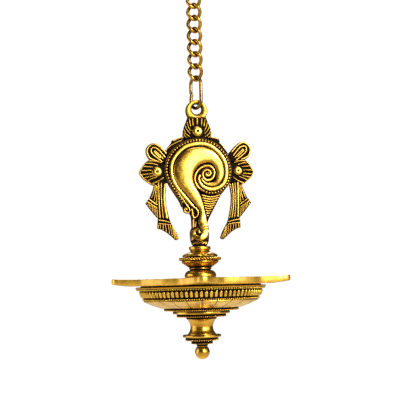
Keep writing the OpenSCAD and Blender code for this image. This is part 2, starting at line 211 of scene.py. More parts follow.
def carried_value(tree, name, kind="FLOAT"):
    return add_node(tree, "GeometryNodeInputNamedAttribute", {"Name": name},
                    data_type=kind).outputs["Attribute"]


def drawn_wire_tree():
    """Round wire that follows its lines, as thick at each point as that point says."""
    tree, given = tree_with_inputs("drawn_wire", (("Sides", "Int"), ("Metal", "Material")))
    path = made_by(tree, "GeometryNodeMeshToCurve", {"Mesh": given["Lines"]})
    ring = add_node(tree, "GeometryNodeCurvePrimitiveCircle", {"Resolution": given["Sides"], "Radius": 1.0})
    size = carried_value(tree, "half_width")
    wire = made_by(tree, "GeometryNodeCurveToMesh", {"Curve": path, "Profile Curve": ring.outputs[0],
                                                     "Scale": size, "Fill Caps": True})
    shiny = {"Geometry": wire, "Name": "polish", "Value": 1.0}
    finish_tree(tree, made_by(tree, "GeometryNodeStoreNamedAttribute", shiny), given["Metal"])
    return tree


def grown(name, lines, tree, **inputs):
    """The plain mesh object that a geometry tree grows on some lines."""
    piece = lines_object(name, lines)
    modifier = piece.modifiers.new("grow", "NODES")
    modifier.node_group = tree
    for socket in tree.interface.items_tree:
        if socket.in_out == "INPUT" and socket.name in inputs:
            modifier[socket.identifier] = inputs[socket.name]
    made = baked(piece)
    piece.modifiers.remove(modifier)
    old = piece.data
    piece.data = made
    bpy.data.meshes.remove(old)
    made.name = name
    recalculate(made)
    return piece


def recalculate(mesh):
    work = bmesh.new()
    work.from_mesh(mesh)
    bmesh.ops.remove_doubles(work, verts=work.verts, dist=1e-7)
    bmesh.ops.recalc_face_normals(work, faces=work.faces)
    work.to_mesh(mesh)
    work.free()


def spun(x, y, degrees):
    c, s = math.cos(math.radians(degrees)), math.sin(math.radians(degrees))
    return c * x - s * y, s * x + c * y


def turned_about_z(points, degrees, z):
    p = np.asarray(points, float)
    x, y = spun(p[:, 0], p[:, 1], degrees)
    return np.stack([x, y, p[:, 2] + z], 1)


def level_arc(radius, first, last, z, steps):
    a = np.radians(np.linspace(first, last, steps))
    return np.stack([radius * np.cos(a), 0 * a, z + radius * np.sin(a)], 1)


wire_brass = aged_brass("wire_brass", (0.58, 0.33, 0.034, 1), (0.31, 0.16, 0.014, 1), rough=0.22,
                        recess=0.0024, brush=(400, 400, 400), open_ao=0.9, pitting=(0.1, 0.2, 0.8),
                        lacquer=0.2)
drawn_wire = drawn_wire_tree()
wire_sides = 20
hook_radius = 1.6
hook_turn = 21
crook_radius, crook_z = 8.6, -7
loop_radius, loop_z = 6.0, -21.6
crook_line = level_arc(crook_radius, 15, 270, crook_z, 60)
loop_line = level_arc(loop_radius, 90, -205, loop_z, 56)
hook_line = np.concatenate([crook_line[:-1], loop_line])
hook_swell = np.full(len(hook_line), hook_radius)
hook_swell[:5] = (0.25, 1.55, 2.05, 1.95, 1.7)
hook_swell[-2:] = (1.45, 0.6)
hook_path = {"points": turned_about_z(hook_line, hook_turn, 0), "half_width": hook_swell}
hook = grown("hanging_hook_wire", [hook_path], drawn_wire, Sides=wire_sides, Metal=wire_brass)
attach(hook, "hook")
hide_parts("hanging_hook")


# Chain links
# Curb chain of round brass wire: each link is an oval closed by a brazed butt joint and then twisted
# about its length, so that its two ends cross its neighbours square and the chain hangs flat.
def full_turn(count):
    return np.linspace(0, 2 * math.pi, count, endpoint=False)


link_count = 8
link_half_length, link_half_width, link_wire_radius = 6.45, 5.0, 1.41
link_twist, link_step_turn, link_pitch, first_link_z = 45, 4, 10.05, -30.95
around_link = full_turn(72)
twist_here = np.radians(-link_twist * np.sin(around_link))
link_line = np.stack([link_half_width * np.cos(around_link) * np.cos(twist_here),
                      link_half_width * np.cos(around_link) * np.sin(twist_here),
                      link_half_length * np.sin(around_link)], 1)
link_thickness = np.full(len(around_link), link_wire_radius)
brazed_dip = (1.0, 0.985, 0.94, 0.985, 1.0)
link_thickness[34:39] *= brazed_dip
first_plumb_link = 7
for number in range(1, link_count + 1):
    link_turn = -link_step_turn * max(0, first_plumb_link - number)
    link_place = turned_about_z(link_line, link_turn, first_link_z - link_pitch * (number - 1))
    link_path = {"points": link_place, "half_width": link_thickness, "closed": True}
    link = grown(f"chain_link_wire_{number}", [link_path], drawn_wire, Sides=wire_sides, Metal=wire_brass)
    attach(link, f"link_{number}")
    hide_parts(f"chain_link_{number}")


# Joining link
# Long open link bent round the plaque's eye after the chain was made. Its two cut ends meet half way
# down the back leg and were pinched past each other a little when the link was closed by hand.
joining_radius, joining_leg, joining_middle_z, joining_turn = 6.45, 13.0, -117.85, -55
joining_wire_radius, cut_end_radius = 1.4, 1.15
joining_squeeze = 0.9
joining_brass = aged_brass("joining_brass", (0.32, 0.19, 0.024, 1), (0.18, 0.10, 0.010, 1), rough=0.24,
                           recess=0.0024, brush=(400, 400, 400), open_ao=0.9, lacquer=0.2)
half_leg = joining_leg / 2
upper_bend = level_arc(joining_radius, 180, 0, half_leg, 30)
lower_bend = level_arc(joining_radius, 0, -180, -half_leg, 30)
right_leg = np.stack([np.full(6, joining_radius), np.zeros(6), np.linspace(half_leg, -half_leg, 8)[1:-1]], 1)
upper_end = np.array([[-joining_radius, 0, 0.04], [-joining_radius, 0, 0.3], [-joining_radius, 0, 2.2],
                      [-joining_radius, 0, 4.4]])
lower_end = np.array([[-joining_radius + 0.05, 0, -4.4], [-joining_radius + 0.45, 0.15, -2.2],
                      [-joining_radius + 0.95, 0.3, -0.3], [-joining_radius + 1.0, 0.32, -0.04]])
joining_line = np.concatenate([upper_end, upper_bend, right_leg, lower_bend, lower_end])
joining_line[:, 0] *= joining_squeeze
joining_swell = np.full(len(joining_line), joining_wire_radius)
joining_swell[[0, -1]] = cut_end_radius
joining_place = turned_about_z(joining_line, joining_turn, joining_middle_z)
joining_path = {"points": joining_place, "half_width": joining_swell}
joining = grown("joining_link_wire", [joining_path], drawn_wire, Sides=wire_sides, Metal=joining_brass)
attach(joining, "joining_link")
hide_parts("joining_link")


# Conch plaque
# One brass casting, alike on both faces: a hanging eye, a rayed crown, the conch in its beaded border, side
# palmettes, ears and hanging ribbons. The web between the ridges keeps the black of the pickling bath.
disc_z = -182.0
cast_brass = aged_brass("cast_brass", (0.66, 0.39, 0.043, 1), (0.44, 0.235, 0.019, 1), rough=0.26,
                        recess=0.0022, brush=(500, 500, 500), rub=(0.28, 0.82), lacquer=0.65)


def cast_ridge_tree():
    """Ridges on a flat casting: a round crown on straight flanks, standing out of both faces alike."""
    tree, given = tree_with_inputs("cast_ridges", (("Sides", "Int"), ("Crown", "Float"),
                                                   ("Fullness", "Float"), ("Metal", "Material")))
    path = made_by(tree, "GeometryNodeMeshToCurve", {"Mesh": given["Lines"]})
    ring = add_node(tree, "GeometryNodeCurvePrimitiveCircle", {"Resolution": given["Sides"], "Radius": 1.0})
    width = carried_value(tree, "half_width")
    tube = made_by(tree, "GeometryNodeCurveToMesh", {"Curve": path, "Profile Curve": ring.outputs[0],
                                                     "Scale": width, "Fill Caps": True})
    here = add_node(tree, "ShaderNodeSeparateXYZ", {0: made_by(tree, "GeometryNodeInputPosition")})
    depth = here.outputs[1]
    height = worked_out(tree, "ABSOLUTE", depth)
    share = worked_out(tree, "DIVIDE", height, width, clamp=True)
    shine = clamped(tree, share, carried_value(tree, "gain"))
    side = worked_out(tree, "SIGN", depth)
    full = worked_out(tree, "POWER", share, given["Fullness"])
    bulge = worked_out(tree, "MULTIPLY", full, width)
    raised = worked_out(tree, "MULTIPLY_ADD", bulge, given["Crown"], carried_value(tree, "lift"))
    crowned = worked_out(tree, "MULTIPLY", side, raised)
    rubbed = {"Geometry": tube, "Name": "polish", "Value": shine}
    stored = made_by(tree, "GeometryNodeStoreNamedAttribute", rubbed)
    moved = made_by(tree, "ShaderNodeCombineXYZ", {0: here.outputs[0], 1: crowned, 2: here.outputs[2]})
    shaped = made_by(tree, "GeometryNodeSetPosition", {"Geometry": stored, "Position": moved})
    finish_tree(tree, shaped, given["Metal"])
    return tree


plain_gain = 1.28
end_steps = (0.0, 0.04, 0.15, 0.35, 0.65, 1.0)
longest_end = 0.4
thinnest_lift = 0.02
bluntest_end = 0.0009


def ridge(points, half_width, depth, crown=1.0, gain=plain_gain):
    """One ridge in the plaque's plane, round at both ends.

    Its half width, depth (half thickness) and gain in shine may vary along it.
    """
    p = np.asarray(points, float)
    w, d, g = (np.broadcast_to(np.asarray(v, float), (len(p),)) for v in (half_width, depth, gain))
    run = np.concatenate([[0], np.cumsum(np.linalg.norm(np.diff(p[:, :2], axis=0), axis=1))])
    first_end, last_end = (min(w[at], run[-1] * longest_end) for at in (0, -1))
    ends = [first_end * f for f in end_steps] + [run[-1] - last_end * f for f in end_steps]
    stops = np.unique(np.round(np.concatenate([run, ends]), 4))

    def along(values):
        return np.interp(stops, run, values)

    shrink = np.ones(len(stops))
    for reach, away in ((first_end, stops), (last_end, run[-1] - stops)):
        t = np.clip(1 - away / max(reach, 1e-6), 0, 1)
        shrink = np.minimum(shrink, np.sqrt(np.maximum(1 - t * t, bluntest_end)))
    width = along(w) * shrink
    x, z = along(p[:, 0]), along(p[:, 1])
    return {"points": np.stack([x, 0 * x, z + disc_z], 1), "half_width": width,
            "lift": np.maximum(along(d) - crown * along(w) * shrink, thinnest_lift), "gain": along(g)}


def on_side(side, points):
    return [(side * x, z) for x, z in points]


cast_ridges = cast_ridge_tree()
border_points = [
    (-12.2, -28.6), (-14.4, -23.4), (-17.0, -19.2), (-20.1, -14.4), (-22.9, -9.6), (-25.0, -4.5),
    (-25.9, 0.6), (-24.3, 8.5), (-18.9, 16.7), (-11, 21.9), (-2.8, 24.4), (4.5, 24.5), (13.4, 21.3),
    (19.8, 16), (24.1, 8.6), (25.8, 0), (24.8, -6.9), (22, -12.2), (17.4, -16.5), (10.4, -18.4),
    (4.3, -16.8), (-0.5, -13.2), (-2.9, -8.7), (-2.8, -4.2), (-0.6, 0.0), (3.0, 2.8), (6.9, 4.0),
    (10.8, 2.9), (12.9, -0.9), (12.4, -4.4), (10.2, -7.1), (6.9, -7.9), (4.3, -6.3), (3.3, -3.4),
    (4.2, -0.7), (6.9, 0.4), (9.4, -0.8), (9.6, -3.0), (7.9, -4.2), (6.2, -3.4), (6.2, -2.0)]
border_line = smooth_line(border_points)
rib_points = [
    (-4.9, -29.2), (-8.4, -25.1), (-12.9, -19.8), (-17.7, -13.5), (-20.8, -7.1), (-22.1, 0.4), (-20.8, 7.7),
    (-16.5, 14.1), (-9.5, 19.5), (1.2, 21.8), (10.1, 19.9), (17.3, 14.2), (21.5, 7.4), (22.9, 0),
    (21.9, -6.9), (18.3, -12.5), (11.3, -15.3), (5.2, -14.0), (1.4, -10.8), (0.0, -6.7), (1.2, -3.5)]
rib_line = smooth_line(rib_points)
whorl_edges = [
    ((1.9, -6.2), (2.4, -6.3)), ((3.1, -9.2), (4.2, -8.6)), ((5.9, -11.6), (6.6, -10.1)),
    ((10.2, -12.9), (9.6, -10.0)), ((14.6, -12.0), (12.8, -8.8)), ((17.8, -9.4), (14.4, -6.2)),
    ((20.0, -5.0), (15.2, -2.6)), ((20.5, 0), (15.1, 0.4)), ((19.3, 6.7), (13.2, 4.2)),
    ((15.6, 12.6), (10.8, 6.2)), ((9.4, 17.4), (7.4, 6.9)), ((1.2, 19.0), (3.4, 6.2)),
    ((-8.2, 17.1), (-0.2, 4.4)), ((-14.5, 12.6), (-3.2, 1.4)), ((-18.4, 6.9), (-5.2, -2.2)),
    ((-19.5, 0.4), (-5.8, -6.4)), ((-17.4, -7.4), (-5.2, -10.6)), ((-12.7, -15.2), (-3.2, -14.8)),
    ((-8.3, -21.6), (-0.2, -19.2)), ((-3.7, -26.9), (2.0, -25.4)), ((-1.1, -29.8), (2.9, -28.6)),
    ((0.3, -33), (3.7, -32.4)), ((0.2, -36.3), (4.6, -35.8)), ((-1.0, -39.6), (5.2, -39.2)),
    ((-1.4, -42.4), (5.7, -42.4)), ((-0.3, -45.2), (6.2, -45.2))]
whorl_outer = smooth_line([outer for outer, inner in whorl_edges])
whorl_inner = smooth_line([inner for outer, inner in whorl_edges])
whorl_across = whorl_inner - whorl_outer
whorl_across /= np.linalg.norm(whorl_across, axis=1)[:, None]
whorl_inner += whorl_across * np.interp(np.arange(len(whorl_inner)), [0, 30, 48, 108, 126],
                                        [0, 0, 0.8, 0.6, 0.0])[:, None]
whorl_line = (whorl_outer + whorl_inner) / 2
whorl_width = np.linalg.norm(whorl_outer - whorl_inner, axis=1) / 2
border_at = np.arange(len(border_line))
border_width = np.interp(border_at, [0, 120, 132, 180, 210, len(border_line) - 1],
                         [1.08, 1.08, 1.38, 1.28, 1.08, 0.95])
border_depth = np.interp(border_at, [0, 120, 180, len(border_line) - 1], [2.9, 2.9, 3.8, 4.4])
border_gain = np.interp(border_at, [0, 118, 130, len(border_line) - 1], [0.2, 0.2, 3.2, 3.0])
rib_width = np.interp(np.arange(len(rib_line)), [0, 12, 48, 66, 92, 106, 120],
                      [1.0, 1.35, 1.45, 1.65, 1.6, 1.25, 0.8])
border_along = np.gradient(border_line, axis=0)
border_along /= np.linalg.norm(border_along, axis=1)[:, None]
border_out = np.stack([-border_along[:, 1], border_along[:, 0]], 1)
border_edge = (border_line + border_out * 1.35)[:112]
shell_ridges = []


def carve(*size, **finish):
    """Adds one ridge to the plaque's relief."""
    shell_ridges.append(ridge(*size, **finish))


carve(border_line, border_width, border_depth, gain=border_gain)
carve(border_edge, 0.46, 2.9, gain=0.5)
cone_stripes = 10
for i in range(cone_stripes):
    left, right, top = 2.2 + i * 0.46, 17.2 - i * 1.22, -20.6 - i * 1.97
    sag = 1.5 * (1 - i / (cone_stripes - 1))
    stripe = [(left, top + sag * 0.5), ((left + right) / 2, top - sag * 0.6), (right, top + sag * 0.5)]
    carve(smooth_line(stripe), 0.62, 3.7 - 0.08 * i, gain=2.8)
teardrop = smooth_line([(-4.9, -29.2), (-2.6, -30.8), (-1.2, -33.4), (-1.6, -36.3), (-4.1, -38.1),
                        (-5.5, -36.3), (-5.7, -33.6), (-6.4, -30.8)])
carve(teardrop, 0.75, 4.2, gain=1.8)
carve(smooth_line([(-3.2, -41.2), (-3.6, -43.4), (-3.8, -45.4)]), 0.55, 4.4)
carve(smooth_line([(-5.0, -38.9), (-5.2, -41.2), (-5.2, -43.6), (-5.1, -46.0)]), 0.9, 4.0, gain=2.0)
carve(smooth_line([(-19.0, -14.0), (-15.6, -19.6), (-11.8, -25.3), (-9.1, -29.3), (-7.9, -31.8),
                   (-8.7, -33.7), (-10.5, -33.6), (-11.8, -32.6), (-11.9, -30.9), (-10.5, -30.6),
                   (-9.9, -31.8)]), 0.52, 3.5)
ray_depth, crown_gain, crown_spread = 3.1, 0.55, 1.1
crown_rays = [
    ([(0, 43.0), (0, 37.2)], 1.2), ([(3.8, 42.7), (3.4, 36.6)], 0.9), ([(6.6, 42.2), (5.4, 35.9)], 0.75),
    ([(8.3, 39.4), (7.4, 35.7), (5.7, 32.4)], 0.68), ([(9.8, 36.3), (8.6, 33), (5.8, 29.9)], 0.66),
    ([(10.8, 33.2), (9.5, 29.9), (6.2, 27.5)], 0.62), ([(11.1, 30.6), (10.6, 28.2), (8.6, 26.6)], 0.5)]
for line, width in crown_rays:
    line = smooth_line(line, 5)
    carve(line, width * crown_spread, ray_depth, gain=crown_gain)
    if width < 1:
        carve(line * (-1, 1), width * crown_spread, ray_depth, gain=crown_gain)
carve(smooth_line([(-20.3, 24.1), (-15.6, 25.9), (-11.4, 27.2)]), 0.55, 2.9)
carve(smooth_line([(-26.6, 15.6), (-24.2, 18.6), (-20.6, 21.2), (-16.6, 23.2), (-12.6, 24.8)]), 0.5, 2.8)
carve(smooth_line([(10.6, 27.0), (14.5, 26.5), (17.1, 25.5)]), 0.5, 2.9)
carve(smooth_line([(18.0, 22.9), (20, 20.7), (22.2, 18.0)]), 0.45, 2.8)
ear_ridges = [
    ([(25.6, 15.4), (30.4, 20.6), (35.4, 23.3), (39.7, 21), (41.1, 17), (38.9, 12), (33.2, 9.3)], 0.72, 3.2),
    ([(26.7, 12.4), (32.3, 18.9), (36.6, 20.3), (38.0, 17.6), (36.0, 14.3), (28.8, 8.6)], 0.64, 3.3),
    ([(28.1, 10.9), (33.0, 15.9), (34.9, 17.6), (35.5, 16.9), (34.1, 15.2), (30.4, 11.6)], 0.5, 3.4)]
palmette_rays = [
    ([(29.5, 6.5), (34.4, 7.8), (38.4, 7.9)], 0.7), ([(32.2, 4.6), (36.2, 5.9), (40.4, 6.1)], 0.66),
    ([(35.6, 3.0), (42.2, 3.7)], 0.66), ([(36.4, 0.4), (43.7, 0.2)], 0.68),
    ([(36.4, -2.3), (43.3, -3.0)], 0.66), ([(35.0, -3.8), (41.7, -5.7)], 0.66),
    ([(32.8, -4.9), (36.6, -6.3), (39.6, -8.2)], 0.64), ([(28.3, -5.4), (32.4, -8.4), (36.6, -10.4)], 0.66)]
palmette_gain = {1: 0.55, -1: 0.6}
fringe_gain = 1.8
front_threads, back_threads = 9, 8
front_pleats = {1: ((0.15, 1.15), (0.47, 0.45), (0.73, 0.55), (0.96, 0.28)),
                -1: ((0.09, 0.6), (0.4, 0.42), (0.77, 1.3))}
back_pleats = ((0.1, 0.4), (0.5, 0.4), (0.88, 0.36))
palmette_edge = [
    (31.0, 7.9), (34.2, 8.3), (38.2, 8.2), (40.9, 5.9), (43.6, 1.1), (44.4, -0.9), (43.2, -4.2),
    (40.8, -7.1), (37.0, -10.4), (34.8, -11.4)]
ear_shift = {1: (2.0, -0.5), -1: (0.0, -1.6)}
palmette_stretch = {1: 1.05, -1: 1.18}


def carve_pleats(side, outer, inner, pleats, depth):
    """Pleats that share out the cloth between a ribbon's two edges."""
    for share, width in pleats:
        carve(on_side(side, outer * (1 - share) + inner * share), width, depth)


def ear_points(side, points):
    across, up = ear_shift[side]
    return on_side(side, [(x + across, z + up) for x, z in points])


def palmette_points(side, points):
    return on_side(side, [(x + max(0.0, x - 29) * (palmette_stretch[side] - 1), z) for x, z in points])


for side in (1, -1):
    for line, width, depth in ear_ridges:
        carve(ear_points(side, smooth_line(line)), width, depth)
    for line, width in palmette_rays:
        line = smooth_line(line)
        carve(palmette_points(side, line), width * np.linspace(0.85, 1.35, len(line)), ray_depth,
              gain=palmette_gain[side])
    carve(palmette_points(side, smooth_line(palmette_edge, 4)), 0.36, 2.6, gain=1.3)
    outer = smooth_line([(33.2, -9), (33.0, -18), (32.9, -28), (32.7, -37.6)], 8)
    inner = smooth_line([(25.6, -11), (26.9, -20), (26.2, -29), (24.2, -38.6)], 8)
    carve_pleats(side, outer, inner, front_pleats[side], 2.8)
    carve(on_side(side, [(33.1, -39.6), (28.4, -40.2), (23.4, -41.6)]), 0.5, 2.9)
    carve(on_side(side, [(33.2, -42.2), (28.2, -42.7), (22.8, -43.6)]), 0.42, 2.8)
    hem = smooth_line([(33.0, -42.8), (28.2, -43.2), (23.0, -43.8), (21.2, -45.8)], 12)
    tips = smooth_line([(33.4, -46.0), (30.4, -46.8), (26.2, -49.2), (22.6, -52.2), (19.4, -55.2),
                        (17.2, -54.6)], 12)
    for f in np.arange(front_threads) / (front_threads - 1):
        start = hem[int(f * (len(hem) - 1))]
        end = tips[int(f * (len(tips) - 1))]
        bow = (start + end) / 2 + np.array([0.25 * f, 0.1])
        carve(on_side(side, smooth_line([start, bow, end])), 0.31 + 0.1 * f, 2.6, gain=fringe_gain)
    outer = smooth_line([(35.2, -11), (36.6, -16), (38.9, -21.4)], 8)
    inner = smooth_line([(33.4, -12), (33.6, -20), (33.8, -26.4)], 8)
    carve_pleats(side, outer, inner, back_pleats, 1.9)
    carve(on_side(side, [(40.4, -22.4), (37.2, -25.0), (33.6, -27.4)]), 0.55, 2.1)
    carve(on_side(side, [(41.8, -24.2), (38.2, -27.0), (33.8, -29.8)]), 0.42, 2.0)
    for f in np.arange(back_threads) / (back_threads - 1):
        start = (42.0 - 7.8 * f, -24.6 - 5.8 * f)
        end = (42.9 - 9.2 * f, -26.3 - 10.6 * f)
        carve(on_side(side, [start, end]), 0.3, 1.9, gain=fringe_gain)
plaque_lines = grown("conch_plaque_ridges", shell_ridges, cast_ridges, Sides=12, Crown=1.0, Fullness=0.65,
                     Metal=cast_brass)

shell_rib = grown("conch_plaque_rib", [ridge(rib_line, rib_width, 4.1, 0.5, 3.0)], cast_ridges,
                  Sides=24, Crown=0.5, Fullness=0.45, Metal=cast_brass)


def plate_object(name, outlines, thick, shine=0.05, wall_shine=0.55, edge=0.35):
    """Flat plates cut from outlines in the plaque's plane, with a small chamfer round both faces."""
    work = bmesh.new()
    for outline in outlines:
        base = [work.verts.new((x * MM, -thick / 2 * MM, (z + disc_z) * MM)) for x, z in outline]
        face = work.faces.new(base)
        pulled = bmesh.ops.extrude_face_region(work, geom=[face])
        top = [v for v in pulled["geom"] if isinstance(v, bmesh.types.BMVert)]
        bmesh.ops.translate(work, verts=top, vec=(0, thick * MM, 0))
    bmesh.ops.recalc_face_normals(work, faces=work.faces)
    rims = [e for e in work.edges if len(e.link_faces) == 2 and e.calc_face_angle(0) > 1.2
            and abs(e.verts[0].co.y - e.verts[1].co.y) < 1e-6]
    bmesh.ops.bevel(work, geom=rims, offset=edge * MM, segments=2, affect="EDGES", profile=0.5)
    mesh = bpy.data.meshes.new(name)
    work.to_mesh(mesh)
    work.free()
    mesh.materials.append(cast_brass)
    wall = (thick / 2 - edge * 0.6) * MM
    rubbed = [wall_shine if abs(corner.co.y) < wall else shine for corner in mesh.vertices]
    carry(mesh, "polish", rubbed)
    mesh.set_sharp_from_angle(angle=math.radians(40))
    return plain_object(name, mesh)


def circle_outline(x, z, radius, count=64):
    return [(x + radius * math.cos(t), z + radius * math.sin(t)) for t in full_turn(count)]


ear_outline = [(22.6, 13.6), (29.8, 21.4), (35.3, 24.2), (40.5, 21.8), (42.0, 17), (39.5, 11.2),
               (33.2, 8.4), (22.6, 5.4)]
ear_outline = [tuple(q) for q in smooth_line(ear_outline, 5)]
ray_outline = [
    (22, 8), (29, 8.0), (34, 8.7), (38.6, 8.7), (41.2, 6.2), (44.0, 1.2), (44.9, -1), (43.6, -4.4),
    (41.2, -7.4), (37.2, -10.8), (35.0, -11.9), (30, -11.4), (24, -9)]
right_shoulder = [(8, 20), (9, 27.6), (11, 27.6), (17.6, 26.1), (18.6, 22.8), (22.4, 17.8), (25, 14),
                  (20, 10)]
left_shoulder = [(-8, 20), (-9, 27.8), (-11.6, 27.9), (-20.9, 24.5), (-21.2, 23), (-27.2, 15.6), (-28, 10),
                 (-20, 10)]
ribbon_outline = [
    (26, -8), (26.4, -14.5), (27.0, -20), (26.3, -29), (24.4, -37.8), (22.6, -42.6), (20.4, -46.4),
    (18.2, -50.4), (16.8, -54.6), (18.4, -55.7), (19.9, -55.4), (22.8, -52.6), (26.3, -49.6), (30.5, -47.1),
    (33.9, -46.2), (33.6, -41), (33.2, -36.8), (33.4, -24), (33.6, -8)]
back_outline = [(30, -9), (35.4, -9.4), (37.2, -15.6), (39.6, -21.2), (43.3, -25.9), (39.0, -31.6),
                (34.2, -37.4), (31, -37.4)]
shell_web = [
    (-26.9, -4), (-24.3, -10.2), (-18.2, -20.0), (-13.6, -28.4), (-12.6, -32.8), (-10.6, -34.4), (-8, -34.4),
    (-6.6, -37), (-6.2, -46), (5.9, -46), (6.4, -42), (8.2, -38), (18.2, -19.6), (24, -10), (25, 0)]
crown_web = [
    (-11, 22), (-11.4, 28), (-11.6, 31), (-10.4, 36.2), (-8.9, 39.6), (-7.5, 43.6), (7.5, 43.6), (8.9, 39.6),
    (10.4, 36.2), (11.6, 31), (11.4, 28), (11, 22)]
web_thick, ribbon_thick, back_ribbon_thick = 3.6, 3.0, 2.0
web_outlines = [circle_outline(0, 0, 26.7), shell_web, crown_web, right_shoulder, left_shoulder]
for side in (1, -1):
    web_outlines += [ear_points(side, ear_outline), palmette_points(side, ray_outline)]
plaque_web = plate_object("conch_plaque_web", web_outlines, web_thick)
plaque_ribbons = plate_object("conch_plaque_ribbons", [ribbon_outline, on_side(-1, ribbon_outline)],
                              ribbon_thick)
plaque_back_ribbons = plate_object("conch_plaque_back_ribbons", [back_outline, on_side(-1, back_outline)],
                                   back_ribbon_thick)


def ring_of(name, loops, shines, metal, close_section=True, sharp=38):
    """A closed skin through loops of points, each loop with its own shine."""
    rings = [np.asarray(loop, float) * MM for loop in loops]
    count = len(rings[0])
    faces = []
    last = len(rings) if close_section else len(rings) - 1
    for i in range(last):
        j = (i + 1) % len(rings)
        for k in range(count):
            m = (k + 1) % count
            faces.append((i * count + k, i * count + m, j * count + m, j * count + k))
    mesh = bpy.data.meshes.new(name)
    mesh.from_pydata([tuple(q) for r in rings for q in r], [], faces)
    carry(mesh, "polish", np.repeat(shines, count))
    mesh.materials.append(metal)
    recalculate(mesh)
    mesh.shade_smooth()
    if sharp:
        mesh.set_sharp_from_angle(angle=math.radians(sharp))
    return plain_object(name, mesh)


def eye_loop(outer_share, y):
    """A loop round the eye between its bore (share 0) and its outer edge (share 1)."""
    a = full_turn(72)
    bore_r, outer_r, bore_z, outer_z, foot_z = 4.1, 8.9, 50.2, 48.9, 43.2
    r_in = np.stack([bore_r * np.cos(a), 0 * a + y, bore_z + bore_r * np.sin(a)], 1)
    r_out = np.stack([outer_r * np.cos(a), 0 * a + y, outer_z + outer_r * np.sin(a)], 1)
    flat = r_in * (1 - outer_share) + r_out * outer_share
    flat[:, 2] = np.maximum(flat[:, 2], foot_z) + disc_z
    return flat


eye_section = [
    (0.0, -1.0), (0.05, -1.5), (0.12, -1.92), (0.2, -2.12), (0.3, -2.32), (0.44, -2.46), (0.8, -2.48),
    (0.88, -2.38), (0.95, -2.05), (0.99, -1.55), (1.0, -0.9)]
eye_section += [(share, -y) for share, y in reversed(eye_section)]
eye_shine = [0.2, 0.34, 0.48, 0.54, 0.55, 0.55, 0.55, 0.53, 0.5, 0.45, 0.4]
eye_shine += eye_shine[::-1]
eye_loops = [eye_loop(share, y) for share, y in eye_section]
eye = ring_of("conch_plaque_eye", eye_loops, eye_shine, cast_brass, sharp=0)


def boss_loops(x, z, radius, rise, facing):
    """A round boss with a drilled dimple, on one face of the plaque."""
    section = [
        (1.0, 0.0), (0.99, 0.3), (0.95, 0.55), (0.87, 0.78), (0.73, 0.92), (0.5, 0.98), (0.28, 1.0),
        (0.22, 0.97), (0.17, 0.86), (0.09, 0.8), (0.004, 0.78)]
    a = full_turn(28)
    seat = 2.0
    loops = []
    for r, h in section:
        loops.append(np.stack([x + radius * r * np.cos(a), 0 * a + facing * (seat + (rise - seat) * h),
                               z + disc_z + radius * r * np.sin(a)], 1))
    return loops


boss_shine = [0.2, 0.8, 1, 1, 1, 1, 1, 0.8, 0.35, 0.2, 0.25]
boss_places = ((0, 31.9, 4.4, 4.4), (32.5, -0.3, 3.8, 3.9), (-33.6, -0.8, 4.3, 4.1), (7.8, -2.1, 0.9, 5.0))
bosses = []
for x, z, radius, rise in boss_places:
    for facing in (-1, 1):
        loops = boss_loops(x, z, radius, rise, facing)
        bosses.append(ring_of("boss", loops, boss_shine, cast_brass, False, 0))

bulb_z, bulb_radius, bulb_squash = -50.2, 7.8, 0.93
bulb_section = [
    (2.2, -60.8), (5.6, -60.8), (5.9, -60.6), (5.9, -60.3), (5.7, -60.1), (6.0, -59.8), (6.4, -59.2),
    (6.8, -58.4), (7.15, -57.4), (7.45, -56.4), (7.65, -55.2), (7.75, -53.8), (7.8, -52.2)]
bulb_shine = [0.2, 0.4, 0.4, 0.1, 0.0, 0.3, 0.42, 0.45, 0.44, 0.42, 0.42, 0.42, 0.42]
bulb_skin_shine, bulb_side_shine, bulb_buffed_from = 0.42, 0.75, -56.0
bulb_section += [(bulb_radius * math.cos(t), bulb_z + bulb_radius * bulb_squash * math.sin(t))
                 for t in np.radians(np.arange(-6, 83, 7))]
bulb_section += [(0.02, bulb_z + bulb_radius * bulb_squash)]
bulb_shine += [bulb_skin_shine] * (len(bulb_section) - len(bulb_shine))


def ring_points(radius, a, z):
    return np.stack([radius * np.cos(a), radius * np.sin(a), z + 0 * a], 1)


def lathe_loops(section, count, top=0.0):
    return [ring_points(r, full_turn(count), z + top) for r, z in section]


bulb = ring_of("conch_plaque_bulb", lathe_loops(bulb_section, 64, disc_z), bulb_shine, cast_brass, False, 40)
bulb_rub = bulb.data.attributes["polish"].data
for corner in bulb.data.vertices:
    if corner.co.z > (disc_z + bulb_buffed_from) * MM:
        rub = np.interp(abs(corner.co.x) / MM, [5.2, 7.0], [bulb_skin_shine, bulb_side_shine])
        bulb_rub[corner.index].value = float(rub)


def on_bulb(points, proud):
    """Depths that lay a line on the bulb's round skin, proud by some millimetres."""
    p = np.asarray(points, float)
    skin = np.array(bulb_section[4:])
    radius = np.interp(p[:, 1], skin[:, 1], skin[:, 0])
    return np.sqrt(np.maximum(radius ** 2 - p[:, 0] ** 2, 9.0)) + proud


volute = smooth_line([(2.15, -42.4), (3.0, -45.6), (3.3, -49.8), (1.9, -53.4), (-1.6, -54.9), (-4.4, -53.4),
                      (-5.5, -50.6), (-4.6, -48.1), (-2.7, -47.6), (-1.6, -49.2), (-1.7, -50.9)])[1:]
volute_at = np.arange(1, len(volute) + 1) / 6
volute_width = np.interp(volute_at, np.arange(11),
                         [3.55, 3.4, 3.1, 2.5, 1.9, 1.65, 1.5, 1.15, 0.85, 0.75, 0.9])
volute_depth = np.maximum(on_bulb(volute, 1.5), np.interp(volute_at, [0, 1, 2], [7.3, 7.9, 3.0]))
trunk = 145
whorl_depth = np.interp(np.arange(trunk), [0, 24, 54, 84, 108, 126, 144],
                        [3.6, 4.4, 6.0, 6.8, 6.2, 5.8, 7.3])
whorl_path = np.concatenate([whorl_line[:trunk], volute])
whorl_width = np.concatenate([whorl_width[:trunk], volute_width])
whorl_depth = np.concatenate([whorl_depth, volute_depth])
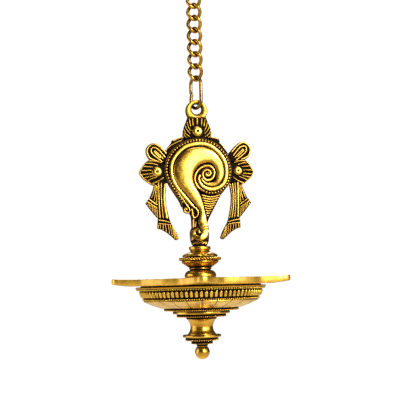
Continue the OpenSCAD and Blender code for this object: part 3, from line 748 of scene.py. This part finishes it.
shell_whorl = grown("conch_plaque_whorl", [ridge(whorl_path, whorl_width, whorl_depth, 0.4, 4.0)],
                    cast_ridges, Sides=48, Crown=0.4, Fullness=0.44, Metal=cast_brass)
under_curls = []
for first, last in ((-6.2, -1.6), (-3.4, 1.4), (0.2, 5.0), (3.6, 6.3)):
    leaf = smooth_line([(last, -57.2), ((first + last) / 2 - 0.4, -58.4), (first, -59.3)])
    under_curls.append(ridge(leaf, 0.42, on_bulb(leaf, 0.3), 0.5, 0.8))
curls = grown("conch_plaque_curls", under_curls, cast_ridges,
              Sides=16, Crown=0.5, Fullness=0.6, Metal=cast_brass)


def set_along_tree():
    """Small worked units set along lines, each facing out of the surface that carries it."""
    tree, given = tree_with_inputs("set_along", (("Unit", "Object"), ("Count", "Int"), ("Metal", "Material")))
    path = made_by(tree, "GeometryNodeMeshToCurve", {"Mesh": given["Lines"]})
    spots = add_node(tree, "GeometryNodeResampleCurve", {"Curve": path, "Count": given["Count"]},
                     mode="COUNT")
    out = carried_value(tree, "out", "FLOAT_VECTOR")
    up = carried_value(tree, "up", "FLOAT_VECTOR")
    facing = made_by(tree, "FunctionNodeAlignRotationToVector", {"Vector": out}, axis="Z")
    upright = made_by(tree, "FunctionNodeAlignRotationToVector", {"Rotation": facing, "Vector": up}, axis="Y",
                      pivot_axis="Z")
    unit = add_node(tree, "GeometryNodeObjectInfo", {"Object": given["Unit"]}).outputs["Geometry"]
    rows = made_by(tree, "GeometryNodeInstanceOnPoints", {"Points": spots.outputs[0], "Instance": unit,
                                                          "Rotation": upright})
    finish_tree(tree, rows, given["Metal"])
    return tree


def unit_object(name, half_x, half_y, rise, square=1.0, seat=-0.3, around=10, levels=4, point=0.0, dull=0.1,
                full=0.9):
    """A raised dome on an oval or squarish foot, facing +Z, shinier towards the top.

    Point narrows it to an arch; a low full makes its top flat, as wear does.
    """
    corners, shine, faces = [], [], []
    for i in range(levels + 1):
        f = i / levels
        reach, height = math.cos(f * math.pi / 2) ** full, math.sin(f * math.pi / 2)
        height = seat + (1 - seat) * height
        for k in range(around):
            a = 2 * math.pi * k / around
            x = math.copysign(abs(math.cos(a)) ** square, math.cos(a))
            y = math.copysign(abs(math.sin(a)) ** square, math.sin(a))
            x *= 1 - point * max(0.0, y) ** 3
            corners.append((half_x * reach * x * MM, half_y * reach * y * MM, rise * height * MM))
            shine.append(min(1.0, dull + 1.3 * f))
    for i in range(levels):
        for k in range(around):
            m = (k + 1) % around
            faces.append((i * around + k, i * around + m, (i + 1) * around + m, (i + 1) * around + k))
    faces.append(tuple(reversed(range(around))))
    mesh = bpy.data.meshes.new(name)
    mesh.from_pydata(corners, [], faces)
    carry(mesh, "polish", shine)
    return plain_object(name, mesh)


set_along = set_along_tree()


def bead_rows(name, lines, unit, count, metal):
    rows = grown(name, lines, set_along, Unit=unit, Count=count, Metal=metal)
    mesh = unit.data
    bpy.data.objects.remove(unit)
    bpy.data.meshes.remove(mesh)
    return rows


bead_start, bead_stop, bead_pitch, bead_sink = 4, 124, 2.42, 0.1
bead_path = border_line[bead_start:bead_stop]
bead_depth = border_depth[bead_start:bead_stop] - bead_sink
bead_length = float(np.sum(np.linalg.norm(np.diff(bead_path, axis=0), axis=1)))
bead_lines = []
for facing in (-1, 1):
    where = np.stack([bead_path[:, 0], facing * bead_depth, bead_path[:, 1] + disc_z], 1)
    bead_lines.append({"points": where, "out": (0, facing, 0), "up": (0, 0, 1)})
border_bead = unit_object("bead", 1.06, 1.06, 1.05, seat=-0.6, levels=5, dull=0.7, full=0.42)
bead_count = int(bead_length / bead_pitch)
border_beads = bead_rows("conch_plaque_beads", bead_lines, border_bead, bead_count, cast_brass)


def joined(name, pieces):
    """One object of several, so that a casting stays one piece."""
    bpy.ops.object.select_all(action="DESELECT")
    for piece in pieces:
        piece.select_set(True)
    bpy.context.view_layer.objects.active = pieces[0]
    bpy.ops.object.join()
    pieces[0].name = name
    return pieces[0]


plaque = joined("conch_plaque_casting", [plaque_lines, shell_whorl, shell_rib, plaque_web, plaque_ribbons,
                                         plaque_back_ribbons, eye, bulb, curls, border_beads, *bosses])
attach(plaque, "lamp")
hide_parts("conch_plaque")


# Tie stud
# Plain steel rod on the lamp's axis that screws into the plaque above and the ball below and clamps the
# stack. Only the oil and a lamp taken apart ever see it, so it keeps its drawn finish.
def grained(name, stretch, scale, detail, dark, light, rough, metallic=0.0):
    """A plain stuff whose colour and roughness follow one grain."""
    stuff, tree, skin = new_stuff(name)
    place = add_node(tree, "ShaderNodeTexCoord").outputs["Object"]
    drawn = made_by(tree, "ShaderNodeMapping", {"Vector": place, "Scale": stretch})
    grain = made_by(tree, "ShaderNodeTexNoise", {"Vector": drawn, "Scale": scale, "Detail": detail})
    set_inputs(tree, skin, {"Base Color": blend_colours(tree, grain, dark, light), "Metallic": metallic,
                            "Roughness": between(tree, grain, 0.2, 0.8, *rough)})
    return stuff


def coat_node(node, stuff):
    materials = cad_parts[node].data.materials
    materials.clear()
    materials.append(stuff)


coat_node("tie_stud", grained("stud_steel", (3000, 3000, 40), 1.0, 3.0, (0.42, 0.42, 0.44, 1),
                              (0.62, 0.62, 0.64, 1), (0.3, 0.5), metallic=1.0))


# Upper bell
# Turned brass bell under the plaque: a square-edged collar, a tight neck and a flared skirt whose lower
# edge is filed into shallow lotus scallops. Its grooves were blackened and its lands buffed on the lathe.
bore = 2.15
turned_brass = aged_brass("turned_brass", (0.82, 0.475, 0.042, 1), (0.54, 0.285, 0.02, 1), rough=0.26,
                          recess=0.0024, brush=(60, 60, 2600), lacquer=0.5)


def eased(section, ease):
    """Section points (radius, height, shine) with each corner turned into a small round."""
    made = [section[0]]
    for a, b, c in zip(section, section[1:], section[2:]):
        p, q, r = (np.array(v[:2], float) for v in (a, b, c))
        before, after = np.linalg.norm(p - q), np.linalg.norm(r - q)
        cut = min(ease, before * 0.45, after * 0.45)
        first, last = q + (p - q) / before * cut, q + (r - q) / after * cut
        for t in (0.0, 0.5, 1.0):
            at = (1 - t) ** 2 * first + 2 * t * (1 - t) * q + t * t * last
            made.append((at[0], at[1], b[2]))
    made.append(section[-1])
    return made


def turned_piece(name, section, ease=0.3, scallops=None):
    """A piece turned about the lamp's axis and bored for the stud.

    Scallops are their count, depth, top z and low z.
    """
    ringed = [(bore, section[0][1], 0.2)] + eased(section, ease) + [(bore, section[-1][1], 0.2)]
    count = 128
    a = full_turn(count)
    loops = []
    for r, z, _ in ringed:
        reach = np.full(count, float(r))
        if scallops:
            lobes, depth, top, low = scallops
            share = min(1.0, max(0.0, (top - z) / (top - low))) if r > bore + 1 else 0.0
            reach = reach - depth * share * (1 - np.abs(np.sin(lobes * a / 2)) ** 0.7)
        loops.append(ring_points(reach, a, z))
    return ring_of(name, loops, [s for _, _, s in ringed], turned_brass, True, 32)


def belongs_to_lamp(piece, node):
    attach(piece, "lamp")
    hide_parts(node)


bell_section = [
    (5.6, -242.8, 0.3), (8.3, -243.0, 1), (8.7, -243.5, 1), (8.7, -245.4, 1), (8.2, -245.9, 0.9),
    (7.6, -246.2, 0.36), (7.7, -247.0, 0.42), (8.6, -247.3, 0.8), (10.4, -248.1, 1), (12.6, -249.0, 1),
    (14.0, -249.9, 1), (14.4, -250.6, 1), (14.2, -251.0, 0.2), (12.8, -251.5, 0.0), (12.4, -251.8, 0.0)]
upper_bell = turned_piece("upper_bell_turning", bell_section, scallops=(12, 1.0, -248.0, -250.4))
belongs_to_lamp(upper_bell, "upper_bell")


# Rope ring
# Two brass wires laid up as a rope, closed into a ring and soldered round a flat washer. It sits between
# the bell and the cup, which the tie stud pulls together on it.
rope_strands, rope_turns, rope_ring_radius, rope_z = 2, 21, 15.75, -253.0
strand_radius, strand_offset = 0.68, 0.66
a = full_turn(528)
rope_lines = []
for strand in range(rope_strands):
    lay = a * rope_turns + 2 * math.pi * strand / rope_strands
    strand_reach = rope_ring_radius + strand_offset * np.cos(lay)
    strand_line = ring_points(strand_reach, a, rope_z - strand_offset * np.sin(lay))
    rope_lines.append({"points": strand_line, "half_width": strand_radius, "closed": True})
rope = grown("rope_ring_strands", rope_lines, drawn_wire, Sides=8, Metal=turned_brass)
washer_section = [(15.0, -251.8, 0.0), (15.2, -252.2, 0.0), (15.2, -253.8, 0.0), (15.0, -254.2, 0.0)]
rope_washer = turned_piece("rope_ring_washer", washer_section)
rope = joined("rope_ring_braid", [rope, rope_washer])
belongs_to_lamp(rope, "rope_ring")


# Lower cup
# Turned brass cup, the bell's likeness upside down, closing on a narrow round moulding above the knob.
# Its hollow side is darker than its rim, darkest towards the neck. The stud clamps it between the rope ring
# and the knob.
cup_section = [
    (13.4, -254.2, 0.0), (14.6, -254.5, 0.8), (14.9, -255.1, 1), (14.7, -255.9, 0.9), (13.9, -256.6, 0.6),
    (12.5, -257.5, 0.48), (11.0, -258.5, 0.34), (9.8, -259.3, 0.15), (8.9, -259.7, 0.0), (8.6, -260.0, 0.0),
    (9.0, -260.2, 0.8), (9.2, -260.6, 1), (9.0, -261.1, 0.8), (8.4, -261.4, 0.0), (8.2, -262.0, 0.0)]
lower_cup = turned_piece("lower_cup_turning", cup_section)
belongs_to_lamp(lower_cup, "lower_cup")


# Knob
# Full round turned brass knob on a short flared foot. It stands in the oil well, on the washer, and the
# stem above it is clamped to the dish through it.
knob_core, knob_swell, knob_rise, knob_z = 8.1, 4.6, 4.4, -266.4
knob_section = [(8.6, -262.0, 0.0), (9.6, -262.15, 0.2)]
knob_section += [(knob_core + knob_swell * math.cos(t), knob_z + knob_rise * math.sin(t), 1)
                 for t in np.radians(np.arange(60, -61, -8))]
knob_section += [(8.4, -271.2, 0.3), (8.2, -272.4, 0.6), (8.8, -274.6, 0.9), (10.0, -276.2, 0.9),
                 (10.0, -277.4, 0.6)]
knob = turned_piece("knob_turning", knob_section, 0.2)
belongs_to_lamp(knob, "knob")


# Seal washer
# Plain punched fibre washer under the knob, dark with oil. It is squeezed flat when the stack is screwed
# up, and keeps the oil from creeping down the stud.
coat_node("seal_washer", grained("oiled_fibre", (1, 1, 1), 700.0, 6.0, (0.09, 0.045, 0.02, 1),
                                 (0.21, 0.11, 0.05, 1), (0.35, 0.6)))


# Oil dish
# Cast and filed brass dish: a flat rim drawn out into five wick lips round a shallow oil well. The rim's
# edge is draw-filed bright along its run; a shallow channel down each lip holds a cotton wick.
dish_brass = aged_brass("dish_brass", (0.86, 0.53, 0.065, 1), (0.66, 0.37, 0.035, 1), rough=0.46,
                        recess=0.003, brush=(260, 260, 2600), soot=(0.02, 0.011, 0.003, 1), lacquer=0.75)
lips, dish_turn, rim_top, rim_thick = 5, -98, -268.4, 5.3
lip_step = 360 / lips
rim_radius, land_radius, well_radius, boss_radius = 56.0, 46, 40, 20
well_floor, dish_under = -278.4, -280.4
tip_lift, tip_thinning, lip_length, lip_curl = 0.75, 0.9, 17, 1.5
soften_rounds, crisp_from, crisp_over, thin_from, thin_over = 60, 63, 6, 58, 14
lip_side = [
    (53.9, -16.4), (56.6, -14.6), (59.5, -12.2), (62.2, -9.5), (64.8, -7.1), (67.3, -5.6), (69.7, -4.6),
    (71.7, -3.2), (72.7, -1.5), (73, 0)]
rim_points = []
for lip in range(lips):
    run = lip_side + [(x, -y) for x, y in reversed(lip_side[:-1])]
    run += [(rim_radius * math.cos(t), rim_radius * math.sin(t)) for t in np.radians(np.arange(21, 52, 5))]
    rim_points += [spun(x, y, lip_step * lip) for x, y in run]
rim_line = smooth_line(rim_points, 8, True)
for _ in range(soften_rounds):
    softer = (np.roll(rim_line, 1, 0) + rim_line * 2 + np.roll(rim_line, -1, 0)) / 4
    near_tip = np.clip((np.hypot(rim_line[:, 0], rim_line[:, 1]) - crisp_from) / crisp_over, 0, 1)[:, None]
    rim_line = rim_line * near_tip + softer * (1 - near_tip)
rim_line = np.stack(spun(rim_line[:, 0], rim_line[:, 1], dish_turn), 1)
heading = np.arctan2(rim_line[:, 1], rim_line[:, 0])
reach = np.hypot(rim_line[:, 0], rim_line[:, 1])
along = np.roll(rim_line, -1, 0) - np.roll(rim_line, 1, 0)
along /= np.linalg.norm(along, axis=1)[:, None]
outward = np.stack([along[:, 1], -along[:, 0]], 1)
thin = np.clip((reach - thin_from) / thin_over, 0, 1) * tip_thinning


def lip_rise(radius):
    return tip_lift * np.clip((radius - rim_radius) / lip_length, 0, 1) ** lip_curl


def rim_loop(inset, z):
    return np.column_stack([rim_line - outward * inset, z + lip_rise(reach)])


def lip_loop(share, z):
    """A loop drawn in along each heading from the rim's edge (share 0) towards the well (share 1)."""
    radius = reach + (land_radius - reach) * share
    return np.column_stack([radius * np.cos(heading), radius * np.sin(heading), z + lip_rise(radius)])


def round_loop(radius, z):
    return ring_points(radius, heading, z)


under = rim_top - rim_thick
dish_loops = [
    round_loop(bore, well_floor), round_loop(boss_radius, well_floor), round_loop(37.5, well_floor),
    round_loop(39.3, -277.9), round_loop(well_radius, -276.6), round_loop(well_radius, -269.2),
    round_loop(40.6, -268.5), round_loop(41.6, rim_top), round_loop(land_radius, rim_top),
    lip_loop(0.6, rim_top), lip_loop(0.25, rim_top), rim_loop(0.7, rim_top), rim_loop(0.2, rim_top - 0.2),
    rim_loop(0, rim_top - 0.7), rim_loop(0, under + 0.7 + thin), rim_loop(0.2, under + 0.2 + thin),
    rim_loop(0.7, under + thin), lip_loop(0.25, under + thin * 0.8), lip_loop(0.6, under + thin * 0.4),
    round_loop(land_radius, under), round_loop(42.2, under), round_loop(42, -279.6),
    round_loop(41.2, dish_under), round_loop(boss_radius, dish_under), round_loop(bore, dish_under)]
dish_shine = [0.5, 0.5, 0.5, 0.3, 0.4, 0.5, 0.9, 1, 1, 1, 1, 1, 1, 1, 1, 1, 0.9, 0.8, 0.6, 0.3, 0.1, 0.2,
              0.2, 0.2, 0.2]
dish = ring_of("oil_dish_casting", dish_loops, dish_shine, dish_brass, True, 35)


def wick_cutter():
    """One rounded trough for each lip, cut out of the rim's top."""
    half_width, depth, clear = 2.3, 1.7, 3.0
    work = bmesh.new()
    for lip in range(lips):
        section = [(half_width * math.cos(t), depth * math.sin(t))
                   for t in np.radians(np.linspace(180, 360, 13))]
        section += [(half_width, clear), (-half_width, clear)]
        rows = []
        for x, size in ((38.0, 1.0), (64.5, 1.0), (66.6, 0.86), (67.8, 0.6), (68.4, 0.3)):
            row = []
            for y, z in section:
                drop = z * (size if z < 0 else 1)
                east, north = spun(x, y * size, lip_step * lip + dish_turn)
                row.append(work.verts.new((east * MM, north * MM, (rim_top + drop) * MM)))
            rows.append(row)
        for a, b in zip(rows, rows[1:]):
            for k in range(len(section)):
                m = (k + 1) % len(section)
                work.faces.new((a[k], a[m], b[m], b[k]))
        work.faces.new(list(reversed(rows[0])))
        work.faces.new(rows[-1])
    bmesh.ops.recalc_face_normals(work, faces=work.faces)
    mesh = bpy.data.meshes.new("wick_cutter")
    work.to_mesh(mesh)
    work.free()
    return plain_object("wick_cutter", mesh)


cutter = wick_cutter()
cut = dish.modifiers.new("wick_channels", "BOOLEAN")
cut.operation = "DIFFERENCE"
cut.solver = "EXACT"
cut.object = cutter
cut_mesh = baked(dish)
dish.modifiers.remove(cut)
dish.data = cut_mesh
bpy.data.objects.remove(cutter)
channel_rub = cut_mesh.attributes["polish"].data
channel_start, channel_end, channel_half, channel_deep, rim_skin = 39.9, 69, 2.4, 1.8, 0.05
channel_edge_rub, channel_floor_rub = 0.95, 0.35
for corner in cut_mesh.vertices:
    x, y, z = np.array(corner.co) / MM
    from_lip = (math.degrees(math.atan2(y, x)) - dish_turn + lip_step / 2) % lip_step - lip_step / 2
    out = math.hypot(x, y)
    beside = out * abs(math.sin(math.radians(from_lip)))
    if channel_start < out < channel_end and beside < channel_half and z > rim_top - channel_deep:
        on_edge = z > rim_top - rim_skin
        channel_rub[corner.index].value = channel_edge_rub if on_edge else channel_floor_rub
belongs_to_lamp(dish, "oil_dish")


# Bowl
# Cast brass shell that the dish sits in. Round its top run a beaded ring, a band of upright petals and a
# second bead row; its slope is chased with two dozen broad lotus petals. The recesses stay black.
bowl_brass = aged_brass("bowl_brass", (0.92, 0.60, 0.065, 1), (0.54, 0.32, 0.03, 1), rough=0.33,
                        recess=0.0022, brush=(70, 70, 1500), open_ao=0.68, shut_ao=0.25,
                        pitting=(0.3, 0.4, 0.2), lacquer=0.55)


def bowl_z(drop):
    return rim_top - drop


slope_rows = 12
slope_top, slope_low = (45.7, bowl_z(17.4)), (31.4, bowl_z(23.0))
petals = 24
slope_shift = 0.58
bowl_count = petals * 16
a = full_turn(bowl_count)
belly_rise, slope_out, slope_down = 0.35, 0.34, 0.94
groove_share, petal_swell, petal_rim, rim_at, rim_spread = 0.16, 0.45, 0.16, 0.74, 0.09
bowl_loops, bowl_shine = [], []


def bowl_add(*profile):
    for radius, drop, shine in profile:
        bowl_loops.append(ring_points(radius, a, bowl_z(drop)))
        bowl_shine.append(np.full(bowl_count, float(shine)))


bowl_add((bore, 23.2, 0.1), (11, 23.2, 0.1), (30.2, 23.2, 0.1))
for i in range(slope_rows + 1):
    f = i / slope_rows
    belly = belly_rise * math.sin(math.pi * f)
    radius = slope_low[0] + (slope_top[0] - slope_low[0]) * f + belly * slope_out
    z = slope_low[1] + (slope_top[1] - slope_low[1]) * f - belly * slope_down
    across = np.abs(((a * petals / (2 * math.pi) + slope_shift) % 1.0) * 2 - 1)
    groove = np.clip((1 - across) / groove_share, 0, 1)
    swell = petal_swell * groove * (1 - 0.5 * across ** 2)
    swell = swell + petal_rim * np.exp(-((across - rim_at) / rim_spread) ** 2)
    bowl_loops.append(ring_points(radius + swell * slope_out, a, z - swell * slope_down))
    bowl_shine.append(np.clip(groove * 1.1 - 0.1, 0, 1))
bowl_add((45.5, 16.9, 0.05), (45.4, 15.4, 0.0), (46.2, 15.2, 0.1), (47.0, 15.0, 0.3), (46.5, 14.7, 0.0),
         (48.2, 10.0, 0.0), (48.7, 9.6, 0.1), (49.0, 9.4, 0.1), (48.9, 9.2, 0.0), (49.0, 9.1, 0.0),
         (49.8, 9.0, 0.0), (50.3, 8.9, 0.0), (50.5, 7.9, 0.05), (51.5, 7.8, 0.3), (52.0, 7.5, 0.36),
         (52.2, 7.05, 0.38), (52.0, 6.6, 0.36), (51.5, 6.2, 0.3), (48.2, 6.1, 0.0), (48.0, 5.4, 0.0),
         (44, 5.3, 0.0), (42.6, 5.4, 0.0), (42.6, 12.0, 0.0), (11, 12.0, 0.0), (bore, 12.0, 0.0))
bowl = ring_of("bowl_shell", bowl_loops, np.zeros(len(bowl_loops)), bowl_brass, True, 35)


def shine_from(piece, loops, shines):
    """Writes each loop point's own shine, found again by its place after doubles were merged."""
    known = {}
    for loop, shine in zip(loops, shines):
        for q, s in zip(np.round(np.asarray(loop) * MM, 6), shine):
            known[tuple(q)] = s
    mesh = piece.data
    values = [known.get(tuple(np.round(np.array(v.co, float), 6)), 0.5) for v in mesh.vertices]
    mesh.attributes["polish"].data.foreach_set("value", values)


shine_from(bowl, bowl_loops, bowl_shine)


def bead_ring(name, radius, z, tilt, unit, count, metal):
    """One closed row of units round the lamp's axis, leaning out by a tilt."""
    t = full_turn(240)
    line = {"points": ring_points(radius, t, z), "out": ring_points(math.cos(tilt), t, math.sin(tilt)),
            "up": (0, 0, 1), "closed": True}
    return bead_rows(name, [line], unit, count, metal)


top_beads = bead_ring("bowl_top_beads", 50.4, bowl_z(8.3), -0.25,
                      unit_object("bead", 0.72, 0.8, 1.15, dull=0.3, full=0.5), 160, bowl_brass)
petal_band = bead_ring("bowl_petal_band", 47.6, bowl_z(12.0), -0.34,
                       unit_object("petal", 1.4, 2.9, 1.4, 0.55, -0.2, 20, 6, 0.75, full=0.5), 80, bowl_brass)
low_beads = bead_ring("bowl_low_beads", 45.7, bowl_z(16.1), -0.3,
                      unit_object("bead", 0.72, 0.78, 1.35, dull=0.4, full=0.5), 160, bowl_brass)
bowl = joined("bowl_casting", [bowl, top_beads, petal_band, low_beads])
belongs_to_lamp(bowl, "bowl")


# Stepped base
# Three thin discs turned from one brass blank, with rows of beads rolled into the coves between them. The
# coves were left black; only the middle disc's edge is bright. The stud runs through it under the bowl.
base_section = [
    (29.2, -291.6, 0.1), (29.7, -291.8, 0.05), (29.8, -292.0, 0.0), (29.8, -292.8, 0.0),
    (29.1, -293.0, 0.0), (29.1, -293.8, 0.0), (22.0, -294.0, 0.0), (21.3, -294.1, 0.0), (21.3, -294.2, 0.0),
    (22.3, -294.3, 0.5), (22.8, -294.7, 1), (22.8, -296.1, 1), (22.3, -296.6, 0.8), (18.6, -296.8, 0.0),
    (18.4, -296.9, 0.0), (19.4, -296.9, 0.0), (19.8, -297.1, 0.0), (19.8, -298.0, 0.0), (19.1, -298.2, 0.0),
    (19.1, -299.0, 0.0), (13.0, -299.2, 0.0), (12.4, -299.3, 0.0), (12.2, -299.8, 0.2)]
stepped_base = turned_piece("stepped_base_turning", base_section, 0.18)
upper_row = bead_ring("base_upper_beads", 29.2, -293.4, -0.05,
                      unit_object("bead", 0.74, 0.6, 0.75, dull=0.6, full=0.5), 108, turned_brass)
lower_row = bead_ring("base_lower_beads", 19.2, -298.6, -0.05,
                      unit_object("bead", 0.62, 0.52, 0.7, dull=0.5, full=0.5), 80, turned_brass)
stepped_base = joined("stepped_base_discs", [stepped_base, upper_row, lower_row])
belongs_to_lamp(stepped_base, "stepped_base")


# Spool
# Waisted brass spool, turned and buffed smooth, the brightest of the foot's turnings. The stud clamps it
# between the stepped base and the foot collar.
spool_waist, spool_top, spool_length = 9, -300.4, 12.1
waist_at, below_waist = 0.56, 0.44
upper_flare, lower_flare = 3, 2.2
# The shine starts low at the spool's top, under the stepped base, and rises to full over its upper fifth:
# painted shade from the disc above.
spool_section = [(12.2, -299.8, 0.1), (12.2, -300.4, 0.2)]
for i in range(1, 20):
    f = i / 20
    if f < waist_at:
        hollow = upper_flare * (1 - f / waist_at) ** 2
    else:
        hollow = lower_flare * ((f - waist_at) / below_waist) ** 2
    spool_section.append((spool_waist + hollow, spool_top - f * spool_length, min(1, 0.24 + f * 4)))
spool_section += [(11.2, -312.5, 0.8), (11.2, -313.1, 0.2)]
spool = turned_piece("spool_turning", spool_section, 0.2)
belongs_to_lamp(spool, "spool")


# Foot collar
# Turned brass collar of a bright upper disc, a black cove and two smaller steps with beads rolled round
# their lower edges. It is bored for the stud and bears on the ball.
collar_section = [
    (14.8, -313.1, 0.6), (15.3, -313.6, 1), (15.3, -314.6, 1), (14.8, -315.2, 0.8), (12.2, -315.4, 0.0),
    (12.3, -315.5, 0.0), (13.0, -315.6, 0.0), (13.1, -315.8, 0.0), (13.1, -316.9, 0.0), (12.6, -317.4, 0.1),
    (8.2, -317.9, 0.0), (8.1, -318.0, 0.0), (8.5, -318.1, 0.0), (8.6, -318.3, 0.0), (8.6, -319.6, 0.0),
    (8.1, -320.2, 0.1), (5.0, -320.7, 0.0), (4.9, -321.0, 0.0)]
foot_collar = turned_piece("foot_collar_turning", collar_section, 0.15)
foot_row = bead_ring("foot_beads", 12.5, -317.2, -0.4,
                     unit_object("bead", 0.74, 0.62, 0.95), 43, turned_brass)
tip_row = bead_ring("foot_tip_beads", 8.0, -320.0, -0.4,
                    unit_object("bead", 0.62, 0.5, 0.85), 32, turned_brass)
foot_collar = joined("foot_collar_steps", [foot_collar, foot_row, tip_row])
belongs_to_lamp(foot_collar, "foot_collar")


# Ball finial
# Turned brass ball on a short neck, buffed bright all over. It is tapped for the stud and screwed up last,
# which clamps the whole stack.
ball_radius, ball_z = 5.9, -326.88
ball_section = [(bore, -321.0, 0.1), (4.5, -321.0, 0.0), (4.4, -321.6, 0.0), (4.3, -322.2, 0.05)]
ball_section += [(ball_radius * math.cos(t), ball_z + ball_radius * math.sin(t), 1)
                 for t in np.radians(np.arange(46, -87, -6))]
ball_section += [(0.02, ball_z - ball_radius, 1)]
ball = ring_of("ball_finial_turning", lathe_loops([(r, z) for r, z, _ in ball_section], 72),
               [s for _, _, s in ball_section], turned_brass, False, 40)
belongs_to_lamp(ball, "ball_finial")


# Studio
# Plain white floor and surround, as in a catalogue picture. Soft boxes stand at the front right, where a
# small bright one sits before a large one, and at the right, left, top and back.
floor_z, floor_reach = -1.6, 9
floor_glow_on_metal, floor_glow_seen = 0.66, 1.0
floor_mesh = bpy.data.meshes.new("floor")
floor_mesh.from_pydata([(-floor_reach, -floor_reach, floor_z), (floor_reach, -floor_reach, floor_z),
                        (floor_reach, floor_reach, floor_z), (-floor_reach, floor_reach, floor_z)], [],
                       [(0, 1, 2, 3)])
floor = plain_object("floor", floor_mesh)
floor_paint, floor_tree, floor_skin = new_stuff("floor_white")
floor_seen = add_node(floor_tree, "ShaderNodeLightPath").outputs["Is Camera Ray"]
floor_glow = made_by(floor_tree, "ShaderNodeMapRange", {0: floor_seen, 3: floor_glow_on_metal,
                                                        4: floor_glow_seen})
floor_hue = blend_colours(floor_tree, floor_seen, (1, 0.86, 0.66, 1), (1, 1, 1, 1))
set_inputs(floor_tree, floor_skin, {"Base Color": (0.9, 0.9, 0.9, 1), "Roughness": 0.9,
                                    "Emission Color": floor_hue, "Emission Strength": floor_glow})
floor_mesh.materials.append(floor_paint)

scene = bpy.context.scene
surround = bpy.data.worlds.new("studio")
scene.world = surround
surround.use_nodes = True
sky = surround.node_tree
sky.nodes.clear()
seen = add_node(sky, "ShaderNodeLightPath").outputs["Is Camera Ray"]
white = made_by(sky, "ShaderNodeBackground", {"Color": (1, 1, 1, 1), "Strength": 1.05})
dim = made_by(sky, "ShaderNodeBackground", {"Color": (1, 0.95, 0.86, 1), "Strength": 0.07})
shown = made_by(sky, "ShaderNodeMixShader", {0: seen, 1: dim, 2: white})
add_node(sky, "ShaderNodeOutputWorld", {0: shown})

middle = Vector((0, 0, -0.21))
soft_boxes = (("key_box", (0.46, -1.08, 0.12), (0.62, 0.95), 12.4, (1, 0.97, 0.92)),
              ("spot_box", (0.44, -1.04, 0.14), (0.2, 0.24), 5.6, (1, 0.99, 0.97)),
              ("right_box", (0.95, -0.62, -0.08), (0.6, 0.6), 2.4, (1, 0.97, 0.92)),
              ("left_box", (-1.1, 0.08, -0.15), (0.9, 0.9), 4.6, (1, 0.96, 0.9)),
              ("top_box", (0.05, -0.35, 0.8), (0.6, 0.4), 3, (1, 0.98, 0.95)),
              ("back_box", (0.2, 1.15, 0.75), (0.7, 0.7), 6, (1, 0.97, 0.93)))
for name, place, (width, height), watts, colour in soft_boxes:
    lamp = bpy.data.lights.new(name, "AREA")
    lamp.shape = "RECTANGLE"
    lamp.size, lamp.size_y = width, height
    lamp.energy = watts
    lamp.color = colour
    box = plain_object(name, lamp)
    box.location = place
    box.rotation_euler = (middle - Vector(place)).to_track_quat("-Z", "Y").to_euler()

camera_data = bpy.data.cameras.new("camera")
camera_data.sensor_width = 36
camera_data.lens = 86
camera = plain_object("camera", camera_data)
azimuth, elevation, roll = (math.radians(angle) for angle in (-10, -4.5, -1.5))
distance, aim_z, shift_right = 0.8, -0.212, 0.00745
back = Vector((math.sin(azimuth) * math.cos(elevation), -math.cos(azimuth) * math.cos(elevation),
               math.sin(elevation)))
turn = (-back).to_track_quat("-Z", "Y").to_matrix() @ Matrix.Rotation(roll, 3, "Z")
right = turn @ Vector((1, 0, 0))
camera.location = Vector((0, 0, aim_z)) + right * shift_right + back * distance
camera.rotation_euler = turn.to_euler()
scene.camera = camera
scene.view_settings.view_transform = "Standard"
